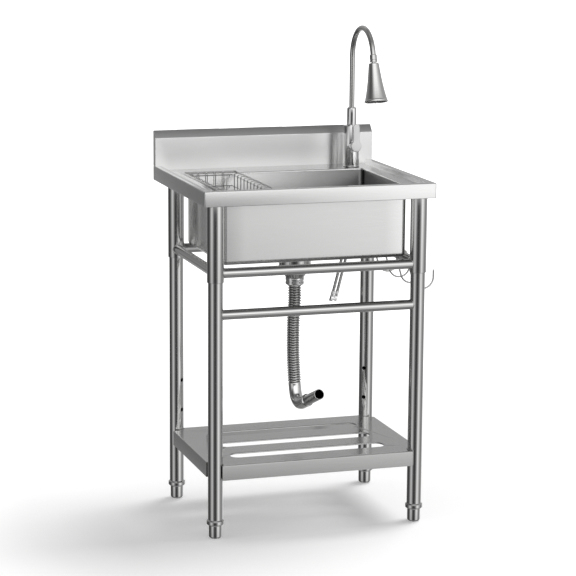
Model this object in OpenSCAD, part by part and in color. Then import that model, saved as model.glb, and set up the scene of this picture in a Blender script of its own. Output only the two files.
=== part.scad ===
// Free-standing stainless steel utility sink with backsplash, shelf and tap.
// Millimetres. Origin: floor level, centre of the four feet. +X right, +Y to the wall, +Z up.

/* [Deck] */
// Width of the deck over its side aprons
deck_w = 600; // [560:10:800]
// Depth of the deck over its front and rear aprons
deck_d = 500; // [460:10:600]
// Height of the rim above the floor
rim_z = 876; // [820:1:920]
// Depth of the folded apron below the rim
apron_h = 38; // [30:1:50]
// Width of the flat top of the raised rim
rim_w = 18; // [12:1:24]
// Drop from the rim to the flat of the deck
rim_drop = 10; // [6:1:14]
// Run of the sloped face between rim and flat
rim_slope_w = 7; // [4:1:10]
// Width of the hem folded in under each apron
hem_w = 5; // [3:0.5:6]
// Thickness of all folded sheet
sheet = 1.2; // [0.8:0.1:1.6]

/* [Bowl] */
// Depth of the bowl below the flat of the deck
bowl_h = 186; // [140:2:190]
// Radius of the corners of the bowl, outside
bowl_r = 12; // [6:1:20]
// Space between the bowl and each side socket
bowl_socket_gap = 3; // [2:0.5:8]
// Space between the bowl and the front rail
bowl_front_gap = 8.5; // [4:0.5:12]
// Space between the bowl and the rear rail
bowl_rear_gap = 6.5; // [4:0.5:12]

/* [Backsplash] */
// Height of the upright panel above the flat of the deck
splash_h = 83; // [60:1:120]
// Rise of the sloped top of the backsplash
splash_slope_h = 23; // [12:1:40]
// Depth of the backsplash from its face to the rear edge
splash_d = 21; // [15:1:30]
// Height of the lip folded down behind the backsplash
splash_lip_h = 25; // [15:1:35]

/* [Knife holders] */
// Distance from the side apron to the middle of an outer holder
holder_inset = 125; // [110:5:150]
// Distance between the two slots of a holder
slot_pitch = 70; // [50:2:80]
// Length of a knife slot
knife_slot_w = 34; // [26:1:40]
// Width of a knife slot
knife_slot_d = 6; // [5:0.5:8]
// Depth of the slotted plate behind the backsplash
holder_d = 20; // [16:1:26]
// Drop of the slotted plate below the top of the backsplash
holder_drop = 6; // [4:1:12]
// Thickness of a holder
holder_t = 1.5; // [1:0.1:2.5]

/* [Frame] */
// Distance from the side apron to the centre of a leg
side_overhang = 36; // [34:1:44]
// Distance from the front apron to the centre of a front leg
front_overhang = 29; // [28:1:36]
// Distance from the rear edge to the centre of a rear leg
rear_overhang = 96; // [90:1:110]
// Outer diameter of a leg
leg_od = 37; // [34:0.5:38]
// Wall of a leg
leg_wall = 1.5; // [1:0.1:2.5]
// Outer diameter of a socket
socket_od = 42; // [41:0.5:44]
// Clearance between a leg and the bore of its socket
socket_play = 0.25; // [0.15:0.05:0.4]
// Length of leg held inside a socket
leg_insert = 60; // [40:1:80]
// Outer diameter of a rail
rail_od = 25; // [20:0.5:30]
// Wall of a rail
rail_wall = 1.2; // [0.8:0.1:2]
// Drop from the flat of the deck to the upper rails
upper_rail_drop = 196; // [190:1:240]
// Drop from the flat of the deck to the lower front rail
lower_rail_drop = 300; // [285:1:360]
// Thickness of the plate on top of each socket
cap_t = 2.8; // [2:0.1:4]

/* [Feet] */
// Diameter of the foot
foot_d = 33; // [26:1:36]
// Height of the foot when screwed in
foot_h = 33.7; // [25:0.1:40]
// Rounding of the lower edge of the foot
foot_round = 4.5; // [2:0.5:6]
// Height of the flat pad under the rounding
foot_pad = 1.2; // [1:0.1:2]
// Diameter of the foot's threaded stem
stem_d = 10; // [8:1:14]
// Diameter of the collar at the bottom of each leg
collar_d = 44; // [41:1:50]
// Height of the collar
collar_h = 14; // [10:1:18]
// Length of the collar's plug inside the leg
plug_l = 44; // [40:1:60]

/* [Shelf] */
// Height of the top of the shelf
shelf_z = 188.7; // [160:0.1:260]
// Height of the folded edge of the shelf
shelf_flange_h = 38; // [30:1:50]
// Width of each long slot
shelf_slot_w = 42; // [30:1:50]
// Length of each long slot over its round ends
shelf_slot_l = 410; // [300:5:430]
// Distance between neighbouring slots
shelf_slot_pitch = 107; // [90:1:110]
// Distance from the front edge to the first slot's centre
shelf_slot_first = 90.7; // [60:0.1:100]
// Diameter of the shelf bolts
bolt_d = 10; // [6:0.5:10.5]
// Distance between the holes along a leg
leg_hole_pitch = 80; // [60:1:100]
// Drop from the top of the shelf to its bolts
bolt_drop = 26.7; // [18:0.1:28]

/* [Drain] */
// Diameter of the drain cup under the bowl
drain_cup_d = 82; // [76:1:90]
// Diameter of the drain flange inside the bowl
drain_flange_d = 112; // [108:1:130]
// Diameter of the tail nut
tail_nut_d = 48; // [46:1:56]
// Height of the tail nut
tail_nut_h = 18; // [14:1:24]
// Diameter over the ribs of the drain hose
hose_rib_d = 34; // [30:0.5:38]
// Diameter between the ribs
hose_root_d = 27.5; // [26.5:0.5:29]
// Diameter of the smooth end of the hose
hose_smooth_d = 32; // [29:0.5:36]
// Bore of the drain hose
hose_bore_d = 24.5; // [20:0.5:25]
// Distance between neighbouring ribs
rib_pitch = 8.5; // [7:0.1:12]
// Number of ribs
rib_count = 30; // [24:1:31]
// Outer diameter of the end cuff
cuff_d = 27; // [25.5:0.5:32]
// Length of the end cuff
cuff_l = 85; // [60:1:100]

/* [Tap] */
// Diameter of the tap body
tap_d = 42; // [38:1:50]
// Height of the tap body above the deck
tap_h = 109.3; // [95:0.1:120]
// Diameter of the neck collar
neck_d = 25; // [22:0.5:30]
// Height of the neck collar
neck_h = 47.5; // [40:0.5:60]
// Diameter of the spout tube
spout_d = 14; // [12:0.5:16]
// Height of the bend's centre above the deck
spout_rise = 290.5; // [250:0.5:340]
// Radius of the spout's bend
spout_r = 81; // [70:1:100]
// Turn of the bend, in degrees
spout_turn = 166.5; // [150:0.5:175]
// Diameter of the spout's end nut
nut_d = 18.5; // [17:0.5:22]
// Length of the spout's end nut
nut_l = 20; // [16:0.5:26]
// Upper diameter of the spray head
spray_top_d = 26; // [25:0.5:32]
// Lower diameter of the spray head
spray_end_d = 61; // [50:0.5:70]
// Length of the spray head
spray_l = 100; // [80:1:120]
// Diameter of the lever's hub
hub_d = 29; // [28:0.5:34]
// Height of the hub's centre above the deck
hub_rise = 58; // [45:1:70]
// Width of the lever
lever_w = 19; // [14:0.5:24]
// Height of the lever's tip above the hub's centre
lever_l = 59; // [45:1:80]
// Diameter of a supply hose
supply_d = 8; // [6:0.5:8.5]
// Width across the supply nut
supply_nut_d = 11; // [9:0.5:11.5]
// Length of a supply nut
supply_nut_l = 13; // [10:0.5:18]

/* [Hooks] */
// Diameter of the hook wire
hook_wire_d = 4.5; // [3:0.5:6]
// Radius of the lower bend, on the wire's centre line
hook_r = 28; // [20:1:32]
// Distance between neighbouring hooks
hook_pitch = 85; // [60:1:90]
// Distance from the front leg's centre line to the first hook
hook_first = 30.5; // [26:0.5:40]

/* [Wire basket] */
// Width of the basket's rim
basket_w = 146; // [120:1:180]
// Depth of the basket below its rim
basket_h = 92; // [60:1:120]
// Thickness of the basket's wires
basket_wire = 2.4; // [2:0.2:4]
// Diameter of the rim rod
basket_rim_d = 4; // [3:0.5:5]
// Number of gaps along the basket
basket_gaps_long = 11; // [8:1:14]
// Number of gaps across the basket
basket_gaps_wide = 5; // [3:1:7]

/* [Hidden] */
// Smoothness of round shapes
$fn = 48;
// Overrun of every cut
over = 2;
// Gap that a weld bridges
weld = 0.1;
// Gap between a loose piece and its seat
seat = 0.3;
// Radial running clearance
run = 0.05;
// Step in radius where a bend runs into a straight wire or tube
bend_step = 0.02;

// Main levels and half sizes of the deck
flat_z = rim_z - rim_drop;
apron_z = rim_z - apron_h;
under_z = flat_z - sheet;
half_w = deck_w / 2;
leg_x = half_w - side_overhang;
leg_y = (deck_d - front_overhang - rear_overhang) / 2;
front_y = -leg_y - front_overhang;
rear_y = leg_y + rear_overhang;
splash_y = rear_y - splash_d;

// Radii of the frame
leg_r = leg_od / 2;
socket_r = socket_od / 2;
rail_r = rail_od / 2;
socket_bore_r = leg_r + socket_play;

// Bowl, set inside the ring of rails and sockets
bowl_half_w = leg_x - socket_r - bowl_socket_gap;
bowl_front_y = -leg_y + rail_r + bowl_front_gap;
bowl_rear_y = leg_y - rail_r - bowl_rear_gap;
bowl_d = bowl_rear_y - bowl_front_y;
bowl_y = (bowl_front_y + bowl_rear_y) / 2;
bowl_z = flat_z - bowl_h;
bowl_floor_z = bowl_z + sheet;

// Frame levels
upper_rail_z = flat_z - upper_rail_drop;
lower_rail_z = flat_z - lower_rail_drop;
socket_skirt = 9.5;
socket_z = upper_rail_z - rail_r - socket_skirt;
leg_z = foot_h + seat + collar_h;
leg_top_z = socket_z + leg_insert;
cap_half_d = 25;
inward = 36;
hole_z = shelf_z - bolt_drop;
leg_hole_count = 3;
leg_hole_play = 0.25;
leg_hole_r = bolt_d / 2 + leg_hole_play;
grub_r = 2.5;
grub_play = 0.1;
grub_rise = 7;
grub_show = 2;

// Feet and collars
collar_z = foot_h + seat;
collar_bevel = 3;
plug_r = leg_r - leg_wall - run;
stem_r = stem_d / 2;
stem_top_z = collar_z + collar_h + plug_l - 4 * seat;

// Shelf outline
notch_gap = 0.5;
side_gap = 8;
gusset_gap = 1.5;
shelf_edge_out = 16;
shelf_front_out = 20.8;
shelf_x = leg_x + shelf_edge_out;
shelf_front_y = -leg_y - shelf_front_out;
notch_x = leg_x - leg_r - notch_gap;
side_y = leg_y - leg_r - side_gap;
gusset_l = leg_r + gusset_gap;
bolt_head_r = 8;
bolt_head_h = 6;
bolt_inside = 8;

// Drain levels and radii
drain_y = bowl_y;
cup_r = drain_cup_d / 2;
cup_wall = 1.5;
cup_h = 40;
cone_h = 26;
flange_t = 1.8;
flange_r = drain_flange_d / 2;
tail_r = 19.9;
tail_wall = 2;
bowl_hole_play = 1;
gasket_r = 52;
gasket_h = 3;
lock_nut_r = 50;
lock_nut_h = 11;
lock_notch_r = 6;
lock_notch_deep = 3;
lock_notch_count = 8;
cup_bottom_z = bowl_floor_z - cup_h - sheet;
cone_bottom_z = cup_bottom_z - cone_h;
tail_nut_z = cone_bottom_z - tail_nut_h;
tail_lip_h = 3;
strainer_r = 36;
strainer_h = 34;
strainer_wall = 1;
strainer_rim_r = 44;
strainer_rim_t = 1.2;
strainer_z = bowl_floor_z + flange_t + seat;
strainer_hole_r = 2.5;
strainer_ring_r = 24;
strainer_hole_count = 12;
knob_r = 8;
knob_h = 6;
knob_post_r = 3;
knob_rise = 8;

// Route of the drain hose from the tail nut to the cuff
hose_route = [
    [0, 1, 596], [0, 1, 575], [0, 1, 555], [-3, 1, 500], [-3, 1, 420], [0, 1, 360],
    [2, 0, 330], [3, -9, 304], [5, -27, 292], [7, -45, 294], [8.5, -60, 300.5], [10, -75, 307]
];
// Routes of the two supply hoses, and the distance of each from the middle line
supply_route = [
    [219, 200, 830], [219, 200, 812], [219, 202, 760], [213, 206, 690], [203, 207, 617],
    [192, 207, 573], [181, 206, 532], [177, 206, 517]
];
supply_offset = 5.8;
route_steps = 6;
probe = 1;
tube_sides = 8;
smooth_step = 9;
bore_step = 34;
supply_step = 20;
cuff_ring_r = 16.5;
cuff_ring_l = 6;
cuff_bore_r = 12.2;

// Tap
tap_r = tap_d / 2;
tap_wall = 3;
shank_r = 15;
shank_l = 35;
shank_plug_h = 8;
deck_hole_play = 1;
washer_t = 3.2;
washer_r = 21;
washer_socket_gap = 3;
mount_nut_r = 20;
mount_nut_h = 10;
seal_t = 1.2;
tap_x = leg_x - socket_r - washer_r - washer_socket_gap;
tap_edge = 31.5;
tap_y = bowl_rear_y + tap_edge;
tap_z = flat_z + seal_t;
tap_top_z = tap_z + tap_h;
boss_r = 13.5;
boss_l = 5;
cartridge_r = 11;
cartridge_l = 20;
valve_stem_r = 4;
hub_r = hub_d / 2;
hub_z = flat_z + hub_rise;
hub_t = 6.4;
lever_t = 7;
paddle_t = 5;
boss_y = tap_y - tap_r - boss_l;
hub_y = boss_y - seat;
lever_y = hub_y - hub_t - seat;
spout_bore_r = 6;
spout_flange_r = 9.5;
spout_flange_h = 3;
spout_tail = tap_wall + seat + spout_flange_h;
arc_z = flat_z + spout_rise;
spout_end_y = tap_y - spout_r + spout_r * cos(spout_turn);
spout_end_z = arc_z + spout_r * sin(spout_turn);
spout_lean = 180 - spout_turn;
nut_grip = 6;
ball_r = 9;
ball_stem_r = 4;
ball_gap = 2.5;
ball_depth = 9;
ball_lip = 6.9;
spray_wall = 2;
spray_steps = 12;
flare_share = 0.68;
face_t = 4;
face_recess = 2;
nozzle_r = 1;
nozzle_rings = 4;
nozzle_pitch = 6;

// Hooks and right rail
hook_wire_r = hook_wire_d / 2;
hook_top_r = rail_r + hook_wire_r + seat;
hook_dx = 26;
hook_dz = 43;
hook_open = 40;
hook_tip = 20;
hook_dist = norm([hook_dx, hook_dz]);
hook_lean = atan2(hook_dx, hook_dz) - asin((hook_r - hook_top_r) / hook_dist);
hook_shank = hook_dist * cos(asin((hook_r - hook_top_r) / hook_dist));

// Basket that rests on the deck on both sides of the bowl
basket_rest = 10;
basket_left_x = -bowl_half_w - basket_rest;
basket_y0 = bowl_front_y - basket_rest;
basket_y1 = bowl_rear_y + basket_rest;
basket_rim_r = basket_rim_d / 2;
basket_rim_z = flat_z + seat + basket_rim_r;
basket_inset = 16;

steel = "silver";
bright = "gainsboro";
dark = "dimgray";
black = "black";

// A rectangle with round corners, centred
module round_rect(w, d, r) {
    square([w - 2 * r, d], center = true);
    square([w, d - 2 * r], center = true);
    for (sx = [-1, 1], sy = [-1, 1])
        translate([sx * (w / 2 - r), sy * (d / 2 - r)]) circle(r);
}

// A tub outline seen from the side, with two round lower corners
module tub_side(w, h, r) {
    translate([-w / 2, r]) square([w, h - r]);
    translate([-w / 2 + r, 0]) square([w - 2 * r, h]);
    for (sx = [-1, 1]) translate([sx * (w / 2 - r), r]) circle(r);
}

// A tub with round upright corners and round lower edges, from z = 0 to h
module tub(w, d, h, r) {
    intersection() {
        linear_extrude(h) round_rect(w, d, r);
        rotate([90, 0, 0]) linear_extrude(d + 2 * over, center = true) tub_side(w, h, r);
        rotate([90, 0, 90]) linear_extrude(w + 2 * over, center = true) tub_side(d, h, r);
    }
}

// Points its z axis along the direction v, from the point p
module along(p, v) {
    translate(p) rotate([0, acos(v.z / norm(v)), atan2(v.y, v.x)]) children();
}

// The closed outer form of the deck, with every face moved inwards by t
module deck_form(t, z0) {
    w = half_w - t;
    slope_x = half_w - rim_w;
    foot_x = slope_x - rim_slope_w;
    slope_y = front_y + rim_w;
    foot_y = slope_y + rim_slope_w;
    top = rim_z - t;
    low = flat_z - t;
    difference() {
        translate([-w, front_y + t, z0]) cube([2 * w, deck_d - 2 * t, top - z0]);
        intersection() {
            translate([0, rear_y + over, 0]) rotate([90, 0, 0]) linear_extrude(deck_d + 2 * over)
                polygon([
                    [-foot_x, low], [foot_x, low], [slope_x, top],
                    [slope_x, top + over], [-slope_x, top + over], [-slope_x, top]
                ]);
            translate([-half_w - over, 0, 0]) rotate([90, 0, 90]) linear_extrude(deck_w + 2 * over)
                polygon([
                    [foot_y, low], [rear_y + over, low], [rear_y + over, top + over],
                    [slope_y, top + over], [slope_y, top]
                ]);
        }
    }
}

// Folded deck sheet with raised rim, aprons, hems, bowl opening and tap hole
module deck() {
    bowl_w = 2 * (bowl_half_w - sheet);
    color(steel) difference() {
        deck_form(0, apron_z);
        deck_form(sheet, apron_z + sheet);
        translate([-half_w + sheet + hem_w, front_y + sheet + hem_w, apron_z - over])
            cube([deck_w - 2 * (sheet + hem_w), deck_d - 2 * (sheet + hem_w), sheet + 2 * over]);
        translate([0, bowl_y, under_z - over]) linear_extrude(sheet + 2 * over)
            round_rect(bowl_w, bowl_d - 2 * sheet, bowl_r - sheet);
        translate([tap_x, tap_y, under_z - over])
            cylinder(h = sheet + 2 * over, r = shank_r + deck_hole_play);
    }
}

// Deep bowl, welded up against the underside of the deck
module bowl() {
    color(steel) difference() {
        translate([0, bowl_y, bowl_z]) tub(2 * bowl_half_w, bowl_d, bowl_h - sheet, bowl_r);
        translate([0, bowl_y, bowl_floor_z])
            tub(2 * (bowl_half_w - sheet), bowl_d - 2 * sheet, bowl_h + over, bowl_r - sheet);
        translate([0, drain_y, bowl_z - over])
            cylinder(h = sheet + 2 * over, r = cup_r + bowl_hole_play);
    }
}

// Side outline of the backsplash, from its foot at z0
function splash_outline(z0) = [
    [splash_y, z0], [splash_y, flat_z + splash_h],
    [rear_y, flat_z + splash_h + splash_slope_h]
];

// Folded panel with sloped top and a lip behind
module backsplash() {
    top = flat_z + splash_h + splash_slope_h;
    slope = splash_slope_h / splash_d;
    drop = sheet * norm([1, slope]);
    color(steel) difference() {
        translate([-half_w + sheet, 0, 0]) rotate([90, 0, 90]) linear_extrude(deck_w - 2 * sheet)
            polygon(concat(splash_outline(flat_z), [
                [rear_y, top - splash_lip_h], [rear_y - sheet, top - splash_lip_h],
                [rear_y - sheet, top - slope * sheet - drop],
                [splash_y + sheet, flat_z + splash_h + slope * sheet - drop],
                [splash_y + sheet, flat_z]
            ]));
        deck_form(0, apron_z);
    }
}

module backsplash_end(side) {
    x0 = side > 0 ? half_w - sheet : -half_w;
    color(steel) translate([x0, 0, 0]) rotate([90, 0, 90]) linear_extrude(sheet)
        polygon(concat(splash_outline(rim_z), [[rear_y, rim_z]]));
}

// Angle bracket with two slots, fixed behind the lip of the backsplash
module knife_holder(place) {
    top = flat_z + splash_h + splash_slope_h - holder_drop;
    width = slot_pitch + knife_slot_w + 2 * knife_slot_d;
    tab = splash_lip_h - holder_drop;
    slot_y = (holder_d + holder_t - knife_slot_d) / 2;
    color(steel) translate([place * (half_w - holder_inset), rear_y, top]) difference() {
        union() {
            translate([-width / 2, 0, -holder_t]) cube([width, holder_d, holder_t]);
            translate([-width / 2, 0, -tab]) cube([width, holder_t, tab]);
        }
        for (sx = [-1, 1])
            translate([sx * slot_pitch / 2 - knife_slot_w / 2, slot_y, -holder_t - over])
                cube([knife_slot_w, knife_slot_d, holder_t + 2 * over]);
    }
}

// Tube that holds the top of a leg, with a plate under the deck
module socket(sx, sy) {
    top = under_z - cap_t;
    color(steel) translate([sx * leg_x, sy * leg_y, 0]) difference() {
        union() {
            translate([0, 0, socket_z]) cylinder(h = top - socket_z, r = socket_r);
            translate([-socket_r, -cap_half_d, top]) cube([2 * socket_r, 2 * cap_half_d, cap_t]);
        }
        translate([0, 0, socket_z - over]) cylinder(h = top - socket_z + over, r = socket_bore_r);
        inward_hole(sx, sy, socket_z + grub_rise, grub_r + grub_play);
    }
}

// A cylinder from the leg's axis towards the middle of the sink
module inward_hole(sx, sy, z, r) {
    along([0, 0, z], [-sx * sin(inward), -sy * cos(inward), 0]) cylinder(h = 2 * socket_r, r = r);
}

// One screw in each socket that clamps the leg
module socket_grub_screws() {
    length = socket_r - leg_r - run + grub_show;
    color(dark) for (sx = [-1, 1], sy = [-1, 1])
        translate([sx * leg_x, sy * leg_y, 0]) difference() {
            inward_hole(sx, sy, socket_z + grub_rise, grub_r);
            translate([0, 0, socket_z]) cylinder(h = 2 * grub_rise, r = leg_r + run);
            along([0, 0, socket_z + grub_rise], [-sx * sin(inward), -sy * cos(inward), 0])
                translate([0, 0, leg_r + run + length]) cylinder(h = 2 * socket_r, r = 2 * grub_r);
        }
}

// A straight tube along x or y, coped to the uprights at both ends
module rail(span, post_r) {
    rotate([0, 90, 0]) difference() {
        cylinder(h = span, r = rail_r, center = true);
        cylinder(h = span + 2 * over, r = rail_r - rail_wall, center = true);
        for (s = [-1, 1]) translate([0, 0, s * span / 2]) rotate([0, 90, 0])
            cylinder(h = 2 * rail_od, r = post_r + weld, center = true);
    }
}

module rail_front_upper() {
    color(steel) translate([0, -leg_y, upper_rail_z]) rail(2 * leg_x, socket_r);
}

module rail_rear_upper() {
    color(steel) translate([0, leg_y, upper_rail_z]) rail(2 * leg_x, socket_r);
}

module rail_side_upper(sx) {
    color(steel) translate([sx * leg_x, 0, upper_rail_z]) rotate([0, 0, 90]) rail(2 * leg_y, socket_r);
}

module rail_front_lower() {
    color(steel) translate([0, -leg_y, lower_rail_z]) rail(2 * leg_x, leg_r);
}

// Tube with a column of holes that face the middle of the sink
module leg(sx, sy) {
    color(steel) translate([sx * leg_x, sy * leg_y, 0]) difference() {
        translate([0, 0, leg_z]) cylinder(h = leg_top_z - leg_z, r = leg_r);
        translate([0, 0, leg_z - over]) cylinder(h = leg_top_z - leg_z + 2 * over, r = leg_r - leg_wall);
        for (i = [0:leg_hole_count - 1])
            inward_hole(sx, sy, hole_z + i * leg_hole_pitch, leg_hole_r);
    }
}

// Bevelled collar with a threaded plug inside the leg
module collar(sx, sy) {
    edge = collar_d / 2;
    neck = edge - collar_bevel;
    color(steel) translate([sx * leg_x, sy * leg_y, collar_z]) rotate_extrude() polygon([
        [stem_r + run, 0], [neck, 0], [edge, collar_bevel], [edge, collar_h - collar_bevel],
        [neck, collar_h], [plug_r, collar_h], [plug_r, collar_h + plug_l], [stem_r + run, collar_h + plug_l]
    ]);
}

// Round foot with a stem that screws into the collar
module foot(sx, sy) {
    r = foot_d / 2;
    color(steel) translate([sx * leg_x, sy * leg_y, 0]) {
        rotate_extrude() {
            square([r - foot_round, foot_h]);
            translate([0, foot_pad + foot_round]) square([r, foot_h - foot_pad - foot_round]);
            intersection() {
                translate([r - foot_round, foot_pad + foot_round]) circle(foot_round);
                square([r + over, foot_h]);
            }
        }
        cylinder(h = stem_top_z, r = stem_r);
    }
}

// Shelf outline for one corner, moved inwards by e; sx and sy mirror it
function shelf_corner(sx, sy, end_y, e) =
    let (
        dx = -sin(inward),
        dy = -cos(inward),
        reach = gusset_l + e,
        cut_y = leg_y + (reach - (notch_x - e - leg_x) * dx) / dy,
        cut_x = leg_x + (reach - (side_y - e - leg_y) * dy) / dx
    )
    [
        [sx * (notch_x - e), sy * (end_y - e)], [sx * (notch_x - e), sy * cut_y],
        [sx * cut_x, sy * (side_y - e)], [sx * (shelf_x - e), sy * (side_y - e)]
    ];

function backwards(list) = [for (i = [len(list) - 1:-1:0]) list[i]];

function shelf_outline(e) = concat(
    shelf_corner(1, 1, leg_y, e), backwards(shelf_corner(1, -1, -shelf_front_y, e)),
    shelf_corner(-1, -1, -shelf_front_y, e), backwards(shelf_corner(-1, 1, leg_y, e))
);

// Folded shelf with three slots; its corners are cut across to meet the legs' bolts
module shelf() {
    color(steel) difference() {
        translate([0, 0, shelf_z - shelf_flange_h]) linear_extrude(shelf_flange_h)
            polygon(shelf_outline(0));
        translate([0, 0, shelf_z - shelf_flange_h - over]) linear_extrude(shelf_flange_h + over - sheet)
            polygon(shelf_outline(sheet));
        for (i = [0:2])
            translate([0, shelf_front_y + shelf_slot_first + i * shelf_slot_pitch, shelf_z - sheet - over])
                linear_extrude(sheet + 2 * over) {
                    square([shelf_slot_l - shelf_slot_w, shelf_slot_w], center = true);
                    for (s = [-1, 1]) translate([s * (shelf_slot_l - shelf_slot_w) / 2, 0])
                        circle(shelf_slot_w / 2);
                }
        for (sx = [-1, 1], sy = [-1, 1]) translate([sx * leg_x, sy * leg_y, 0])
            inward_hole(sx, sy, hole_z, leg_hole_r);
    }
}

// One bolt through each corner of the shelf into its leg
module shelf_bolts() {
    start = leg_r - leg_wall - bolt_inside;
    color(bright) for (sx = [-1, 1], sy = [-1, 1])
        along([sx * leg_x, sy * leg_y, hole_z], [-sx * sin(inward), -sy * cos(inward), 0]) {
            translate([0, 0, start]) cylinder(h = gusset_l + sheet + weld + over - start, r = bolt_d / 2);
            translate([0, 0, gusset_l + sheet + weld]) cylinder(h = bolt_head_h, r = bolt_head_r, $fn = 6);
        }
}

// Flange, cup, cone and tail of the drain, turned as one
module drain_flange() {
    base = bowl_floor_z;
    shoulder = cone_bottom_z;
    color(bright) translate([0, drain_y, 0]) rotate_extrude() polygon([
        [cup_r - cup_wall, base + flange_t], [flange_r - flange_t, base + flange_t], [flange_r, base],
        [cup_r, base], [cup_r, cup_bottom_z], [tail_nut_d / 2, shoulder + tail_wall],
        [tail_nut_d / 2, shoulder], [tail_r, shoulder], [tail_r, tail_nut_z + tail_lip_h + weld],
        [tail_r - tail_wall, tail_nut_z + tail_lip_h + weld],
        [tail_r - tail_wall, shoulder + 2 * tail_wall], [cup_r - cup_wall, cup_bottom_z + cup_wall]
    ]);
}

module drain_gasket() {
    color(black) translate([0, drain_y, bowl_z - gasket_h]) difference() {
        cylinder(h = gasket_h, r = gasket_r);
        translate([0, 0, -over]) cylinder(h = gasket_h + 2 * over, r = cup_r + weld);
    }
}

// Threaded ring with notches that clamps the drain to the bowl
module drain_lock_nut() {
    color(dark) translate([0, drain_y, bowl_z - gasket_h - lock_nut_h]) difference() {
        cylinder(h = lock_nut_h, r = lock_nut_r);
        translate([0, 0, -over]) cylinder(h = lock_nut_h + 2 * over, r = cup_r + weld);
        for (i = [0:lock_notch_count - 1]) rotate([0, 0, i * 360 / lock_notch_count])
            translate([lock_nut_r + lock_notch_r - lock_notch_deep, 0, -over])
                cylinder(h = lock_nut_h + 2 * over, r = lock_notch_r);
    }
}

// Lift-out strainer cup with a knob
module drain_strainer() {
    floor_z = strainer_z - strainer_h;
    color(bright) translate([0, drain_y, 0]) difference() {
        union() {
            rotate_extrude() polygon([
                [0, floor_z], [strainer_r, floor_z], [strainer_r, strainer_z],
                [strainer_rim_r, strainer_z], [strainer_rim_r, strainer_z + strainer_rim_t],
                [strainer_r - strainer_wall, strainer_z + strainer_rim_t],
                [strainer_r - strainer_wall, floor_z + strainer_wall],
                [knob_post_r, floor_z + strainer_wall],
                [knob_post_r, strainer_z + knob_rise], [knob_r, strainer_z + knob_rise],
                [knob_r, strainer_z + knob_rise + knob_h], [0, strainer_z + knob_rise + knob_h]
            ]);
        }
        for (ring = [1:2], i = [0:strainer_hole_count * ring / 2 - 1])
            rotate([0, 0, i * 720 / strainer_hole_count / ring])
                translate([strainer_ring_r * (ring + 1) / 3, 0, floor_z - over])
                    cylinder(h = strainer_wall + 2 * over, r = strainer_hole_r);
    }
}

// Nut that holds the hose on the drain's tail
module drain_tail_nut() {
    color(bright) translate([0, drain_y, tail_nut_z]) rotate_extrude() polygon([
        [hose_bore_d / 2, 0], [tail_nut_d / 2 - tail_wall, 0], [tail_nut_d / 2, tail_wall],
        [tail_nut_d / 2, tail_nut_h - weld], [tail_r + weld, tail_nut_h - weld],
        [tail_r + weld, tail_lip_h], [hose_bore_d / 2, tail_lip_h]
    ]);
}

// Smooth curve through the points of a route
function curve(a, b, c, d, t) =
    (2 * b + (c - a) * t + (2 * a - 5 * b + 4 * c - d) * t * t + (3 * b - a - 3 * c + d) * t * t * t) / 2;

function smooth_route(p) =
    let (
        n = len(p),
        q = concat([2 * p[0] - p[1]], p, [2 * p[n - 1] - p[n - 2]])
    )
    concat(
        [for (i = [1:n - 1], j = [0:route_steps - 1])
            curve(q[i - 1], q[i], q[i + 1], q[i + 2], j / route_steps)],
        [p[n - 1]]
    );

// Length of the route up to each of its points
function lengths(p) = [
    for (i = 0, s = 0; i < len(p); s = s + (i + 1 < len(p) ? norm(p[i + 1] - p[i]) : 0), i = i + 1) s
];

// Point at the length s along the fine route p whose lengths are in c
function place(p, c, s) =
    let (
        last = len(p) - 2,
        found = [for (i = [0:last]) if (c[i] <= s && s < c[i + 1]) i],
        k = len(found) > 0 ? found[0] : (s < 0 ? 0 : last)
    )
    p[k] + (p[k + 1] - p[k]) * (s - c[k]) / (c[k + 1] - c[k]);

// A ring of radius r round the route at the length s
function ring(p, c, s, r) =
    let (
        t = place(p, c, s + probe) - place(p, c, s - probe),
        d = t / norm(t),
        side = [1, 0, 0] - d * d.x,
        u = side / norm(side),
        v = cross(d, u),
        o = place(p, c, s)
    )
    [for (k = [0:tube_sides - 1]) let (a = k * 360 / tube_sides) o + r * (cos(a) * u + sin(a) * v)];

// Side faces between the rings first to last, each turned by flip
function wall_faces(first, last, flip) = [
    for (i = [first:last - 1], k = [0:tube_sides - 1], half = [0, 1])
        let (
            a = i * tube_sides + k,
            b = i * tube_sides + (k + 1) % tube_sides,
            face = half == 0 ? [a, b, b + tube_sides] : [a, b + tube_sides, a + tube_sides]
        )
        flip ? [face[2], face[1], face[0]] : face
];

// Ring-shaped end between the outer ring i and the inner ring j
function end_faces(i, j, flip) = [
    for (k = [0:tube_sides - 1], half = [0, 1])
        let (
            a = i * tube_sides + k,
            b = i * tube_sides + (k + 1) % tube_sides,
            c = j * tube_sides + k,
            d = j * tube_sides + (k + 1) % tube_sides,
            face = half == 0 ? [a, c, d] : [a, d, b]
        )
        flip ? [face[2], face[1], face[0]] : face
];

function disc_faces(i, flip) = [
    for (k = [1:tube_sides - 2])
        let (a = i * tube_sides)
        flip ? [a, a + k, a + k + 1] : [a + k + 1, a + k, a]
];

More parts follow.
